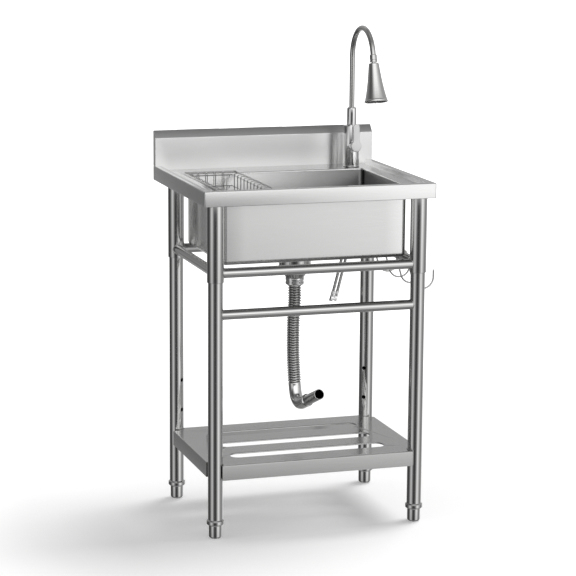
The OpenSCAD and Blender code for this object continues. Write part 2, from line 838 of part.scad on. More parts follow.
// Corrugated drain hose with its bore
module drain_hose() {
    fine = smooth_route(hose_route);
    far = lengths(fine);
    total = far[len(far) - 1];
    ribbed = rib_count * rib_pitch;
    smooth_n = floor((total - ribbed) / smooth_step);
    bore_n = floor(ribbed / bore_step);
    outer = concat(
        [for (i = [0:2 * rib_count - 1])
            [i * rib_pitch / 2, (i % 2 == 0 ? hose_root_d : hose_rib_d) / 2]],
        [for (i = [0:smooth_n]) [ribbed + (total - ribbed) * i / smooth_n, hose_smooth_d / 2]]
    );
    inner = concat(
        [for (i = [0:bore_n - 1]) i * ribbed / bore_n],
        [for (i = [0:smooth_n]) ribbed + (total - ribbed) * i / smooth_n]
    );
    n = len(outer);
    m = len(inner);
    points = concat(
        [for (o = outer) each ring(fine, far, o[0], o[1])],
        [for (s = inner) each ring(fine, far, s, hose_bore_d / 2)]
    );
    color(bright) polyhedron(points, concat(
        wall_faces(0, n - 1, true), wall_faces(n, n + m - 1, false),
        end_faces(0, n, true), end_faces(n - 1, n + m - 1, false)
    ));
}

// Smooth cuff on the end of the hose, open at its far end
module drain_cuff() {
    last = len(hose_route) - 1;
    color(bright) along(hose_route[last], hose_route[last] - hose_route[last - 1]) difference() {
        union() {
            translate([0, 0, weld]) cylinder(h = cuff_ring_l, r = cuff_ring_r);
            translate([0, 0, weld]) cylinder(h = cuff_l, r = cuff_d / 2);
        }
        translate([0, 0, -over]) cylinder(h = cuff_l + 2 * over, r = cuff_bore_r);
    }
}

module tap_seal() {
    color(black) translate([tap_x, tap_y, flat_z]) difference() {
        cylinder(h = seal_t, r = tap_r);
        translate([0, 0, -over]) cylinder(h = seal_t + 2 * over, r = shank_r + weld);
    }
}

// Hollow tap body with side boss and threaded shank
module tap_body() {
    bottom = flat_z - shank_l;
    color(bright) translate([tap_x, tap_y, 0]) difference() {
        union() {
            translate([0, 0, tap_z]) cylinder(h = tap_h, r = tap_r);
            translate([0, 0, bottom]) cylinder(h = shank_l + tap_wall, r = shank_r);
            translate([0, 0, hub_z]) rotate([90, 0, 0]) cylinder(h = tap_r + boss_l, r = boss_r);
        }
        translate([0, 0, tap_z + tap_wall]) cylinder(h = tap_h - 2 * tap_wall, r = tap_r - tap_wall);
        translate([0, 0, bottom + shank_plug_h]) cylinder(h = shank_l + tap_wall, r = shank_r - tap_wall);
        translate([0, 0, tap_top_z - tap_wall - over])
            cylinder(h = tap_wall + 2 * over, r = spout_d / 2 + run);
        translate([0, 0, hub_z]) rotate([90, 0, 0])
            cylinder(h = tap_r + boss_l + over, r = cartridge_r + run);
        for (s = [-1, 1]) translate([s * supply_offset, 0, bottom - over])
            cylinder(h = shank_plug_h + 2 * over, r = supply_d / 4);
    }
}

module tap_washer() {
    color(dark) translate([tap_x, tap_y, under_z - washer_t]) difference() {
        cylinder(h = washer_t, r = washer_r);
        translate([0, 0, -over]) cylinder(h = washer_t + 2 * over, r = shank_r + weld);
    }
}

module tap_mounting_nut() {
    color("goldenrod") translate([tap_x, tap_y, under_z - washer_t - mount_nut_h]) difference() {
        cylinder(h = mount_nut_h, r = mount_nut_r, $fn = 6);
        translate([0, 0, -over]) cylinder(h = mount_nut_h + 2 * over, r = shank_r + weld);
    }
}

// Valve cartridge in the side boss
module tap_cartridge() {
    color("white") translate([tap_x, boss_y + over, hub_z]) rotate([-90, 0, 0]) difference() {
        cylinder(h = cartridge_l, r = cartridge_r);
        translate([0, 0, -over]) cylinder(h = cartridge_l - over, r = valve_stem_r + run);
    }
}

// Turning ring with the valve's stem
module tap_lever_hub() {
    color(bright) translate([tap_x, hub_y, hub_z]) {
        rotate([90, 0, 0]) cylinder(h = hub_t, r = hub_r);
        rotate([-90, 0, 0]) cylinder(h = cartridge_l / 2, r = valve_stem_r);
    }
}

// Round cap with a flat lever that points up
module tap_lever() {
    color("white") translate([tap_x, lever_y, hub_z]) rotate([90, 0, 0]) {
        cylinder(h = lever_t, r = hub_r);
        translate([0, 0, lever_t - paddle_t]) linear_extrude(paddle_t) {
            translate([-lever_w / 2, 0]) square([lever_w, lever_l - lever_w / 2]);
            translate([0, lever_l - lever_w / 2]) circle(lever_w / 2);
        }
    }
}

// Collar round the foot of the spout, with a round shoulder
module tap_neck_collar() {
    r = neck_d / 2;
    round_r = r - spout_d / 2 - over;
    color(bright) translate([tap_x, tap_y, tap_top_z]) rotate_extrude() {
        translate([spout_d / 2 + run, 0]) square([r - spout_d / 2 - run, neck_h - round_r]);
        translate([spout_d / 2 + run, 0]) square([over - run, neck_h]);
        intersection() {
            translate([r - round_r, neck_h - round_r]) circle(round_r);
            translate([spout_d / 2 + over, 0]) square([r, neck_h + over]);
        }
    }
}

// The spout's course as a rod of radius r, with both ends longer by extra
module spout_course(r, extra) {
    foot_z = tap_top_z - spout_tail;
    translate([tap_x, tap_y, foot_z - extra]) cylinder(h = arc_z - foot_z + extra + weld, r = r);
    translate([tap_x, tap_y - spout_r, arc_z]) rotate([90, 0, 90]) rotate_extrude(angle = spout_turn)
        translate([spout_r, 0]) circle(r - bend_step);
    at_spout_end() translate([0, 0, -nut_grip - extra]) cylinder(h = nut_grip + extra + weld, r = r);
}

// Bent spout tube, held in the body by a flange
module tap_spout() {
    color(bright) difference() {
        union() {
            spout_course(spout_d / 2, 0);
            translate([tap_x, tap_y, tap_top_z - spout_tail])
                cylinder(h = spout_flange_h, r = spout_flange_r);
        }
        spout_course(spout_bore_r, over);
    }
}

// Moves to the end of the bend, with -z along the tube
module at_spout_end() {
    translate([tap_x, spout_end_y, spout_end_z]) rotate([-spout_lean, 0, 0]) children();
}

module tap_spout_nut() {
    color(bright) at_spout_end() translate([0, 0, -nut_l]) difference() {
        cylinder(h = nut_l, r = nut_d / 2);
        translate([0, 0, nut_l - nut_grip]) cylinder(h = nut_grip + over, r = spout_d / 2 + run);
        translate([0, 0, -over]) cylinder(h = nut_l + over, r = ball_stem_r + run);
    }
}

// Ball on a short stem that turns in the nut
module spray_ball() {
    color(bright) at_spout_end() {
        translate([0, 0, -nut_l - ball_gap - ball_depth]) sphere(r = ball_r);
        translate([0, 0, -nut_l - ball_gap - ball_depth])
            cylinder(h = ball_gap + ball_depth + nut_l - nut_grip - seat, r = ball_stem_r);
    }
}

// Radius of the trumpet at the share t of its length
function spray_radius(t) =
    (spray_top_d + (spray_end_d - spray_top_d) * (flare_share * t + (1 - flare_share) * pow(t, 3))) / 2;

module spray_head() {
    top = -nut_l - ball_gap;
    cup = (ball_depth + ball_r + spray_wall) / spray_l;
    color(bright) at_spout_end() difference() {
        translate([0, 0, top]) rotate_extrude() polygon(concat(
            [[0, 0]],
            [for (i = [0:spray_steps]) [spray_radius(i / spray_steps), -spray_l * i / spray_steps]],
            [[0, -spray_l]]
        ));
        translate([0, 0, top]) rotate_extrude() polygon(concat(
            [[0, -spray_l * cup]],
            [for (i = [0:spray_steps])
                let (t = cup + (1 - cup) * i / spray_steps)
                [spray_radius(t) - spray_wall, -spray_l * t]],
            [[spray_end_d / 2 - spray_wall, -spray_l - over], [0, -spray_l - over]]
        ));
        translate([0, 0, top - ball_depth]) sphere(r = ball_r + run);
        translate([0, 0, top - ball_depth]) cylinder(h = ball_depth + over, r = ball_lip);
    }
}

// Dark face with rings of nozzles
module spray_face() {
    r = spray_radius(1 - (face_t + face_recess) / spray_l) - spray_wall - run;
    color(black) at_spout_end() translate([0, 0, -nut_l - ball_gap - spray_l + face_recess]) difference() {
        cylinder(h = face_t, r = r);
        for (j = [1:nozzle_rings - 1], i = [0:6 * j - 1]) rotate([0, 0, i * 60 / j])
            translate([j * nozzle_pitch, 0, -over]) cylinder(h = face_t / 2 + over, r = nozzle_r, $fn = 16);
    }
}

// Points of one supply hose, beside the middle line
function supply_points(s) = [for (p = supply_route) p + [s * supply_offset, 0, 0]];

// Two flexible hoses that hang from the tap's shank
module supply_hoses() {
    color(bright) for (s = [-1, 1]) {
        fine = smooth_route(supply_points(s));
        far = lengths(fine);
        total = far[len(far) - 1];
        n = floor(total / supply_step);
        polyhedron(
            [for (i = [0:n]) each ring(fine, far, total * i / n, supply_d / 2)],
            concat(wall_faces(0, n, true), disc_faces(0, true), disc_faces(n, false))
        );
    }
}

// Coupling nut on the free end of each supply hose
module supply_nuts() {
    last = len(supply_route) - 1;
    color(bright) for (s = [-1, 1]) {
        p = supply_points(s);
        along(p[last], p[last] - p[last - 1]) difference() {
            translate([0, 0, weld]) cylinder(h = supply_nut_l, r = supply_nut_d / 2);
            translate([0, 0, weld + over]) cylinder(h = supply_nut_l, r = supply_d / 2);
        }
    }
}

// Hook of round wire that hangs on the right rail
module hook(i) {
    y = -leg_y + hook_first + i * hook_pitch;
    turn = 180 + hook_lean;
    color(bright) translate([leg_x, y, upper_rail_z]) rotate([90, 0, 0]) {
        rotate([0, 0, -hook_open]) rotate_extrude(angle = turn + hook_open)
            translate([hook_top_r, 0]) circle(hook_wire_r);
        rotate([0, 0, turn]) translate([hook_top_r, -weld, 0]) rotate([-90, 0, 0])
            cylinder(h = hook_shank + 2 * weld, r = hook_wire_r - bend_step);
        translate([hook_dx, -hook_dz, 0]) {
            rotate([0, 0, turn]) rotate_extrude(angle = 360 - turn)
                translate([hook_r, 0]) circle(hook_wire_r);
            translate([hook_r, -weld, 0]) rotate([-90, 0, 0])
                cylinder(h = hook_tip + weld, r = hook_wire_r - bend_step);
        }
    }
}

// Basket of welded wires with a rim rod that rests on the deck
module wire_basket() {
    w = basket_w - 2 * basket_inset;
    d = basket_y1 - basket_y0 - 2 * basket_inset;
    x0 = basket_left_x + basket_inset;
    y0 = basket_y0 + basket_inset;
    z0 = basket_rim_z - basket_h;
    step_x = (w - basket_wire) / basket_gaps_wide;
    step_y = (d - basket_wire) / basket_gaps_long;
    rest_z = basket_rim_z - basket_rim_r;
    color(bright) {
        difference() {
            union() {
                translate([x0, y0, z0]) cube([w, d, basket_h + basket_rim_r]);
                for (i = [0:basket_gaps_wide]) translate([x0 + i * step_x, basket_y0, rest_z])
                    cube([basket_wire, basket_y1 - basket_y0, basket_wire]);
                for (i = [0:basket_gaps_long]) translate([basket_left_x, y0 + i * step_y, rest_z])
                    cube([basket_w, basket_wire, basket_wire]);
            }
            translate([x0 + basket_wire, y0 + basket_wire, z0 + basket_wire])
                cube([w - 2 * basket_wire, d - 2 * basket_wire, basket_h + over + basket_rim_r]);
            for (i = [0:basket_gaps_wide - 1])
                translate([x0 + basket_wire + i * step_x, y0 - over, z0 + 2 * basket_wire])
                    cube([step_x - basket_wire, d + 2 * over, basket_h - 3 * basket_wire]);
            for (i = [0:basket_gaps_long - 1])
                translate([x0 - over, y0 + basket_wire + i * step_y, z0 + 2 * basket_wire])
                    cube([w + 2 * over, step_y - basket_wire, basket_h - 3 * basket_wire]);
            for (i = [0:basket_gaps_wide - 1], j = [0:basket_gaps_long - 1])
                translate([x0 + basket_wire + i * step_x, y0 + basket_wire + j * step_y, z0 - over])
                    cube([step_x - basket_wire, step_y - basket_wire, basket_wire + 2 * over]);
        }
        basket_rim();
    }
}

// Flat ring of square rod from the basket's wall out to the deck
module basket_rim() {
    d = basket_y1 - basket_y0;
    translate([basket_left_x, basket_y0, basket_rim_z - basket_rim_r]) difference() {
        cube([basket_w, d, basket_rim_d]);
        translate([basket_rim_d, basket_rim_d, -over])
            cube([basket_w - 2 * basket_rim_d, d - 2 * basket_rim_d, basket_rim_d + 2 * over]);
    }
}

deck();
bowl();
backsplash();
backsplash_end(-1);  // backsplash_left_end
backsplash_end(1);  // backsplash_right_end
knife_holder(-1);  // knife_holder_left
knife_holder(0);  // knife_holder_middle
knife_holder(1);  // knife_holder_right
socket(-1, -1);  // socket_front_left
socket(1, -1);  // socket_front_right
socket(-1, 1);  // socket_rear_left
socket(1, 1);  // socket_rear_right
rail_front_upper();
rail_rear_upper();
rail_side_upper(-1);  // rail_left_upper
rail_side_upper(1);  // rail_right_upper
rail_front_lower();
socket_grub_screws();
leg(-1, -1);  // leg_front_left
leg(1, -1);  // leg_front_right
leg(-1, 1);  // leg_rear_left
leg(1, 1);  // leg_rear_right
collar(-1, -1);  // collar_front_left
collar(1, -1);  // collar_front_right
collar(-1, 1);  // collar_rear_left
collar(1, 1);  // collar_rear_right
foot(-1, -1);  // foot_front_left
foot(1, -1);  // foot_front_right
foot(-1, 1);  // foot_rear_left
foot(1, 1);  // foot_rear_right
shelf();
shelf_bolts();
drain_flange();
drain_gasket();
drain_lock_nut();
drain_strainer();
drain_tail_nut();
drain_hose();
drain_cuff();
tap_seal();
tap_body();
tap_washer();
tap_mounting_nut();
tap_cartridge();
tap_lever_hub();
tap_lever();
tap_neck_collar();
tap_spout();
tap_spout_nut();
spray_ball();
spray_head();
spray_face();
supply_hoses();
supply_nuts();
hook(0);  // hook_1
hook(1);  // hook_2
hook(2);  // hook_3
hook(3);  // hook_4
wire_basket();
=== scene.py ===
"""Looks of a free-standing stainless steel utility sink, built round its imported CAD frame.

Sizes are in millimetres in the CAD frame, with the floor at z = 0, +X to the right and +Y to the wall. Meshes
are made in metres.
"""

import bmesh
import bpy
import numpy as np
from mathutils import Matrix, Vector
from mathutils.geometry import tessellate_polygon


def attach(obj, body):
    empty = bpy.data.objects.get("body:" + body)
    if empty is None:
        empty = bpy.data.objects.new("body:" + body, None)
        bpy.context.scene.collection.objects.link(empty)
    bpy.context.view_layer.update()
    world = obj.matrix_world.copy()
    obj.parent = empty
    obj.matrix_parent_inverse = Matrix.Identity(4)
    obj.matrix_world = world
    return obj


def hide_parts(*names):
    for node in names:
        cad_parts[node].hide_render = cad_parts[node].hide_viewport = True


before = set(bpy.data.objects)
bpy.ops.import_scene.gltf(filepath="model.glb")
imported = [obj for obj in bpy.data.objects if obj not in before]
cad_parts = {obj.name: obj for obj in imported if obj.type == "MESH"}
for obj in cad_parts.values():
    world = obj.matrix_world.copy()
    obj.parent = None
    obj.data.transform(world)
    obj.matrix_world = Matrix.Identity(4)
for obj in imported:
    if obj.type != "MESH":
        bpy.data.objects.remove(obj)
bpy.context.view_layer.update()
MM = 0.001
TURN = 2 * np.pi

# Sizes shared with the CAD source: sheet, deck and its folded rim
SHEET, HEM = 1.2, 6.2
HALF_W, FRONT_Y, REAR_Y = 300.0, -216.5, 283.5
RIM_Z, FLAT_Z, APRON_Z = 876.0, 866.0, 838.0
SLOPE_TOP_IN, SLOPE_FOOT_IN, FLAT_IN = 18.0, 25.0, 29.0

# Bowl, its drain hole, and the backsplash
BOWL_HALF_W, BOWL_FRONT, BOWL_REAR = 240.0, -166.5, 168.5
BOWL_Z, BOWL_CORNER_R, DRAIN_HOLE_R = 680.0, 12.0, 42.0
BOWL_Y = (BOWL_FRONT + BOWL_REAR) / 2
BOWL_HALF_D = (BOWL_REAR - BOWL_FRONT) / 2
SPLASH_Y, SPLASH_TOP, SPLASH_PEAK = 262.5, 949.0, 972.0

# Legs, sockets and rails
CORNERS = {"front_left": (-1, -1), "front_right": (1, -1), "rear_left": (-1, 1), "rear_right": (1, 1)}
LEG_X, LEG_Y, LEG_R = 264.0, 187.5, 18.5
SOCKET_R, SOCKET_LOW, SOCKET_TOP = 21.0, 648.0, 862.0
RAIL_R, RAIL_Z, LOW_RAIL_Z = 12.5, 670.0, 566.0

# Tap, lever and spout
TAP_X, TAP_Y, TAP_Z, TAP_TOP, TAP_R = 219.0, 200.0, 867.2, 976.5, 21.0
HUB_Z, HUB_R, HUB_Y, LEVER_Y = 924.0, 14.5, 173.7, 167.0
ARC_Z, ARC_R, ARC_TURN, SPOUT_R = 1156.5, 81.0, np.radians(166.5), 7.0

# The hoses' routes are listed, as in the CAD source
HOSE_ROUTE = [
    [0, 1, 596], [0, 1, 575], [0, 1, 555], [-3, 1, 500], [-3, 1, 420], [0, 1, 360],
    [2, 0, 330], [3, -9, 304], [5, -27, 292], [7, -45, 294], [8.5, -60, 300.5], [10, -75, 307],
]
SUPPLY_ROUTE = [
    [219, 200, 830], [219, 200, 812], [219, 202, 760], [213, 206, 690], [203, 207, 617],
    [192, 207, 573], [181, 206, 532], [177, 206, 517],
]
SUPPLY_OFFSET = 5.8


# Camera

def placed(name, data):
    """Puts a mesh, a lamp or a camera in the scene as an object at the origin."""
    obj = bpy.data.objects.new(name, data)
    bpy.context.scene.collection.objects.link(obj)
    return obj


def make_camera():
    """The photograph's camera, in metres and degrees: turned about Z, tilted about X, then rolled."""
    sensor, focal_pixels, frame_pixels = 36, 2204.261, 576
    place, azimuth, tilt, roll = (-1.7029, -5.2782, 1.6472), -17.702, 79.168, 0.394
    data = bpy.data.cameras.new("camera")
    data.sensor_width = sensor
    data.lens = sensor * focal_pixels / frame_pixels
    data.clip_end = 100
    pose = Matrix.Translation(place)
    for angle, axis in ((azimuth, "Z"), (tilt, "X"), (roll, "Z")):
        pose = pose @ Matrix.Rotation(np.radians(angle), 4, axis)
    camera = placed("camera", data)
    camera.matrix_world = pose
    bpy.context.scene.camera = camera


make_camera()


# Surfaces: each is a pair of points and faces

def unit(v):
    """Each row of v scaled to length one."""
    return v / np.linalg.norm(v, axis=-1, keepdims=True)


def rounded(corners, steps=5, closed=True):
    """An outline whose corners are two coordinates and a radius. Each arc's centre lies radius /
    sin(half the corner's angle) along the corner's bisector. The ends of an open outline stay sharp."""
    no_radius, nearly_straight = 1e-6, np.pi / 2 - 1e-3
    corners = np.asarray(corners, float)
    p, r = corners[:, :2], corners[:, 2]
    count = len(p)
    t = np.linspace(0, 1, steps + 1)[:, None]
    out = []
    for i in range(count):
        a = unit(p[i - 1] - p[i])
        b = unit(p[(i + 1) % count] - p[i])
        half = np.arccos(np.clip(a @ b, -1, 1)) / 2
        at_end = not closed and i in (0, count - 1)
        if at_end or r[i] < no_radius or half > nearly_straight:
            out.append(p[i][None])
            continue
        middle = p[i] + unit(a + b) * r[i] / np.sin(half)
        start = p[i] + a * r[i] / np.tan(half) - middle
        end = p[i] + b * r[i] / np.tan(half) - middle
        sweep = np.pi - 2 * half
        out.append(middle + (np.sin((1 - t) * sweep) * start + np.sin(t * sweep) * end) / np.sin(sweep))
    return np.concatenate(out)


def circle(sides):
    """Even steps round a circle of radius one: rows of cos a and sin a."""
    a = np.arange(sides) * TURN / sides
    return np.column_stack([np.cos(a), np.sin(a)])


def rings(u, v, sides):
    """For each row of the directions u and v, the circle cos a u + sin a v."""
    c = circle(sides)
    return c[None, :, :1] * u[:, None] + c[None, :, 1:] * v[:, None]


def quads(rows, columns, around, looped):
    """The four-sided faces of a grid, closed across its columns if around, and across its rows if
    looped."""
    down = np.arange(rows if looped else rows - 1)
    across = np.arange(columns if around else columns - 1)
    i, j = (index.ravel() for index in np.meshgrid(down, across, indexing="ij"))
    next_i, next_j = (i + 1) % rows, (j + 1) % columns
    corners = [i * columns + j, i * columns + next_j, next_i * columns + next_j, next_i * columns + j]
    return np.stack(corners, 1).tolist()


def skin(grid, around=False, looped=False, caps=False):
    """A grid of points as a surface. caps closes the first and last row of a grid that goes around, or
    both end columns of a looped one, with one face each."""
    rows, columns = grid.shape[:2]
    faces = quads(rows, columns, around, looped)
    if caps and around:
        faces += [list(range(columns)), list(range((rows - 1) * columns, rows * columns))]
    elif caps:
        faces += [[i * columns for i in range(rows)], [i * columns + columns - 1 for i in range(rows)]]
    return grid.reshape(-1, 3), faces


def together(*parts):
    """Several surfaces as one."""
    points, faces, start = [], [], 0
    for part_points, part_faces in parts:
        points.append(part_points)
        faces += [[i + start for i in face] for face in part_faces]
        start += len(part_points)
    return np.concatenate(points), faces


def square_to(path, side, closed=False):
    """Two directions square to a path at each of its points. The path never runs along the direction
    side."""
    if closed:
        t = unit(np.roll(path, -1, 0) - np.roll(path, 1, 0))
    else:
        t = unit(np.gradient(path, axis=0))
    u = unit(np.cross(np.cross(t, np.asarray(side, float)), t))
    return u, np.cross(t, u)


def tube(path, radius, side, sides=16, closed=False):
    """A round rod along a path: point + radius (cos a u + sin a v), with a from 0 to a full turn."""
    path = np.asarray(path, float)
    u, v = square_to(path, side, closed)
    r = np.broadcast_to(np.asarray(radius, float), len(path))[:, None, None]
    return skin(path[:, None] + r * rings(u, v, sides), around=True, looped=closed, caps=not closed)


def turned(profile, place, axis=(0, 0, 1), sides=64):
    """A profile of radius and height turned round an axis: place + height axis + radius (cos a u + sin
    a v). It is closed on itself, or ends on the axis."""
    profile = np.asarray(profile, float)
    w = unit(np.asarray(axis, float))
    side = np.array([1.0, 0, 0])
    u = unit(side - w * (w @ side))
    ring = rings(u[None], np.cross(w, u)[None], sides)
    grid = np.asarray(place, float) + profile[:, 1][:, None, None] * w + profile[:, 0][:, None, None] * ring
    on_axis = profile[0, 0] < 1e-9
    return skin(grid, around=True, looped=not on_axis)


def disc(radius, low, high, low_r, high_r, steps=4):
    """The profile, for turned, of a solid cylinder whose two edges are rounded."""
    corners = [(0, low, 0), (radius, low, low_r), (radius, high, high_r), (0, high, 0)]
    return rounded(corners, steps, closed=False)


def drawn(outline, start, length, axis):
    """A flat outline drawn out along an axis, 0 to 2, from start by length. Its two numbers are on the
    others."""
    outline = np.asarray(outline, float)
    first, second = (i for i in range(3) if i != axis)
    grid = np.zeros((len(outline), 2, 3))
    grid[:, :, first], grid[:, :, second] = outline[:, :1], outline[:, 1:]
    grid[:, 0, axis], grid[:, 1, axis] = start, start + length
    return skin(grid, looped=True, caps=True)


def curve_through(route, steps):
    """A smooth line through the route's points: each stretch is the cubic through both its ends, with
    the slopes of the chords beside them."""
    p = np.asarray(route, float)
    q = np.concatenate([[2 * p[0] - p[1]], p, [2 * p[-1] - p[-2]]])
    t = (np.arange(steps) / steps)[None, :, None]
    a, b, c, d = (q[i:len(q) - 3 + i][:, None] for i in range(4))
    line = (2 * b + (c - a) * t + (2 * a - 5 * b + 4 * c - d) * t**2 + (3 * b - a - 3 * c + d) * t**3) / 2
    return np.concatenate([line.reshape(-1, 3), p[-1:]])


def along(line):
    """Length of a line up to each of its points."""
    return np.concatenate([[0], np.cumsum(np.linalg.norm(np.diff(line, axis=0), axis=1))])


def read_at(lengths, known, rows):
    """Rows that belong to the known lengths, read off at other lengths by straight lines between
    them."""
    return np.column_stack([np.interp(lengths, known, column) for column in rows.T])


def at_lengths(line, lengths):
    """Points of a line at the lengths."""
    return read_at(lengths, along(line), line)


def mesh_object(name, surface):
    """A surface, in millimetres, as an object."""
    points, faces = surface
    mesh = bpy.data.meshes.new(name)
    mesh.from_pydata((points * MM).tolist(), [], faces)
    return placed(name, mesh)


def close_seams(mesh):
    """Merges seams and poles and turns every face outwards. Distances are in metres."""
    work = bmesh.new()
    work.from_mesh(mesh)
    bmesh.ops.remove_doubles(work, verts=work.verts, dist=2e-6)
    bmesh.ops.dissolve_degenerate(work, edges=work.edges, dist=1e-7)
    bmesh.ops.recalc_face_normals(work, faces=work.faces)
    work.to_mesh(mesh)
    work.free()


def piece(name, surface, body, finish, replaces=(), sharp=30):
    """Makes a surface, in millimetres, a piece of the sink that rides on a body. Edges over sharp
    degrees stay sharp."""
    obj = mesh_object(name, surface)
    mesh = obj.data
    close_seams(mesh)
    mesh.polygons.foreach_set("use_smooth", np.ones(len(mesh.polygons), bool))
    mesh.set_sharp_from_angle(angle=np.radians(sharp))
    mesh.materials.append(finish)
    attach(obj, body)
    if replaces:
        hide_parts(*replaces)
    return obj


# Shader nodes

def node(tree, kind, **settings):
    """A new shader node of a kind, with its settings."""
    made = tree.nodes.new("ShaderNode" + kind)
    for setting, value in settings.items():
        setattr(made, setting, value)
    return made


def feed(tree, socket, value):
    """Links an input to another node's output, or sets it to a number, a vector or a colour."""
    if hasattr(value, "is_output"):
        tree.links.new(value, socket)
    else:
        socket.default_value = value


def math_node(tree, operation, a, b=None):
    """One step of arithmetic."""
    made = node(tree, "Math", operation=operation)
    feed(tree, made.inputs[0], a)
    if b is not None:
        feed(tree, made.inputs[1], b)
    return made.outputs[0]


def vector_node(tree, operation, a, b):
    """One step of arithmetic on two vectors."""
    made = node(tree, "VectorMath", operation=operation)
    feed(tree, made.inputs[0], a)
    feed(tree, made.inputs[1], b)
    return made.outputs[0]


def axes(tree, vector):
    """A vector's three numbers."""
    split = node(tree, "SeparateXYZ")
    feed(tree, split.inputs[0], vector)
    return split.outputs


def noise(tree, place, scale, detail, rough=0.5):
    """Cloudy noise between 0 and 1."""
    made = node(tree, "TexNoise")
    for label, value in (("Vector", place), ("Scale", scale), ("Detail", detail), ("Roughness", rough)):
        feed(tree, made.inputs[label], value)
    return made.outputs["Fac"]


def new_group(name, inputs, outputs):
    """An empty node group with its named sockets. Gives the group, its inner inputs and its inner
    outputs."""
    group = bpy.data.node_groups.new(name, "ShaderNodeTree")
    for label, kind, value in inputs:
        socket = group.interface.new_socket(label, in_out="INPUT", socket_type="NodeSocket" + kind)
        if value is not None:
            socket.default_value = value
    for label in outputs:
        group.interface.new_socket(label, in_out="OUTPUT", socket_type="NodeSocketFloat")
    return group, group.nodes.new("NodeGroupInput").outputs, group.nodes.new("NodeGroupOutput").inputs


def use_group(tree, group, **values):
    """A node group placed in a material, with its inputs linked or set. Gives its outputs."""
    made = node(tree, "Group", node_tree=group)
    for label, value in values.items():
        feed(tree, made.inputs[label], value)
    return made.outputs


def make_sheet_grain():
    """Brushed lines: noise drawn out along X, or along Z on faces that look along X."""
    squeeze, sideways_from, detail, rough = 0.012, 0.72, 4, 0.62
    group, given, result = new_group(
        "sheet_grain",
        [("Place", "Vector", None), ("Facing", "Vector", None), ("Lines", "Float", 900.0)],
        ["Shade", "Height"],
    )
    facing = axes(group, given["Facing"])
    mix = node(group, "Mix", data_type="VECTOR")
    sideways = math_node(group, "GREATER_THAN", math_node(group, "ABSOLUTE", facing[0]), sideways_from)
    feed(group, mix.inputs["Factor"], sideways)
    feed(group, mix.inputs[4], vector_node(group, "MULTIPLY", given["Place"], (squeeze, 1, 1)))
    feed(group, mix.inputs[5], vector_node(group, "MULTIPLY", given["Place"], (1, 1, squeeze)))
    fine = noise(group, mix.outputs[1], given["Lines"], detail, rough)
    feed(group, result["Shade"], fine)
    feed(group, result["Height"], fine)
    return group


def make_polish_marks():
    """Polishing marks of tubes and turned parts: fine noise, with its places multiplied by the stretch
    factors, so that a factor below 1 draws it out that way."""
    group, given, result = new_group(
        "polish_marks",
        [("Place", "Vector", None), ("Stretch", "Vector", (1, 1, 1)), ("Lines", "Float", 600.0)],
        ["Shade", "Height"],
    )
    place = vector_node(group, "MULTIPLY", given["Place"], given["Stretch"])
    fine = noise(group, place, given["Lines"], 3)
    feed(group, result["Shade"], fine)
    feed(group, result["Height"], fine)
    return group


def make_handling():
    """Soft smudges from wiping and handling: two sizes of cloudy noise, centred on zero."""
    small_scale, small_share, middle = 60, 0.4, 0.7
    group, given, result = new_group(
        "handling_smudges", [("Place", "Vector", None), ("Size", "Float", 9.0)], ["Smudge"])
    broad = noise(group, given["Place"], given["Size"], 2)
    small = math_node(group, "MULTIPLY", noise(group, given["Place"], small_scale, 3), small_share)
    both = math_node(group, "ADD", broad, small)
    feed(group, result["Smudge"], math_node(group, "SUBTRACT", both, middle))
    return group


def make_painted_shade():
    """Painted shade: what is left of a spot's brightness, 1 less the larger of two shares. One is painted
    shade that grows on faces that look up, from a slope on. The other is painted shade that holds inside the
    bowl and grows towards the tap."""
    margin, rise = 0.6, 4.0
    left_end, tap_rise, tap_most, least = 0.1, 2.2, 0.7, 0.3
    group, given, result = new_group(
        "painted_shade_places",
        [("Place", "Vector", None), ("Facing", "Vector", None),
         ("From", "Float", 0.5), ("Lying", "Float", 0.2), ("Inside", "Float", 0.0)],
        ["Left"],
    )

    def step(operation, a, b=None):
        """One step of arithmetic in this group."""
        return math_node(group, operation, a, b)

    def held(value, most):
        """A value kept between zero and the most."""
        return step("MINIMUM", step("MAXIMUM", value, 0.0), most)

    x, y, z = axes(group, given["Place"])
    upward = axes(group, given["Facing"])[2]
    steep = step("MULTIPLY", step("SUBTRACT", upward, given["From"]), rise)
    lying = step("MULTIPLY", held(steep, 1.0), given["Lying"])
    from_middle = step("ABSOLUTE", step("SUBTRACT", y, BOWL_Y * MM))
    wide = step("LESS_THAN", step("ABSOLUTE", x), (BOWL_HALF_W - margin) * MM)
    deep = step("LESS_THAN", from_middle, (BOWL_HALF_D - margin) * MM)
    high = step("GREATER_THAN", z, (BOWL_Z + margin) * MM)
    inside = step("MULTIPLY", step("MULTIPLY", wide, deep), high)
    tap_side = held(step("MULTIPLY", step("ADD", x, left_end), tap_rise), tap_most)
    within = step("MULTIPLY", step("MULTIPLY", inside, step("ADD", tap_side, least)), given["Inside"])
    feed(group, result["Left"], step("SUBTRACT", 1.0, step("MAXIMUM", lying, within)))
    return group


SHEET_GRAIN = make_sheet_grain()
POLISH_MARKS = make_polish_marks()
HANDLING = make_handling()
PAINTED_SHADE = make_painted_shade()


# Finishes

def new_material(name):
    """An empty material, with its node tree and the inputs of its shader."""
    material = bpy.data.materials.new(name)
    material.use_nodes = True
    return material, material.node_tree, material.node_tree.nodes["Principled BSDF"].inputs


def toned(tree, factor, colour, spread, low=0.0, high=1.0):
    """A colour that goes from darker to lighter by the spread while the factor goes from low to
    high."""
    ramp = node(tree, "ValToRGB")
    dark, light = ramp.color_ramp.elements
    dark.position, light.position = low, high
    dark.color = tuple(c * (1 - spread) for c in colour) + (1,)
    light.color = tuple(min(1, c * (1 + spread)) for c in colour) + (1,)
    feed(tree, ramp.inputs[0], factor)
    return ramp.outputs[0]


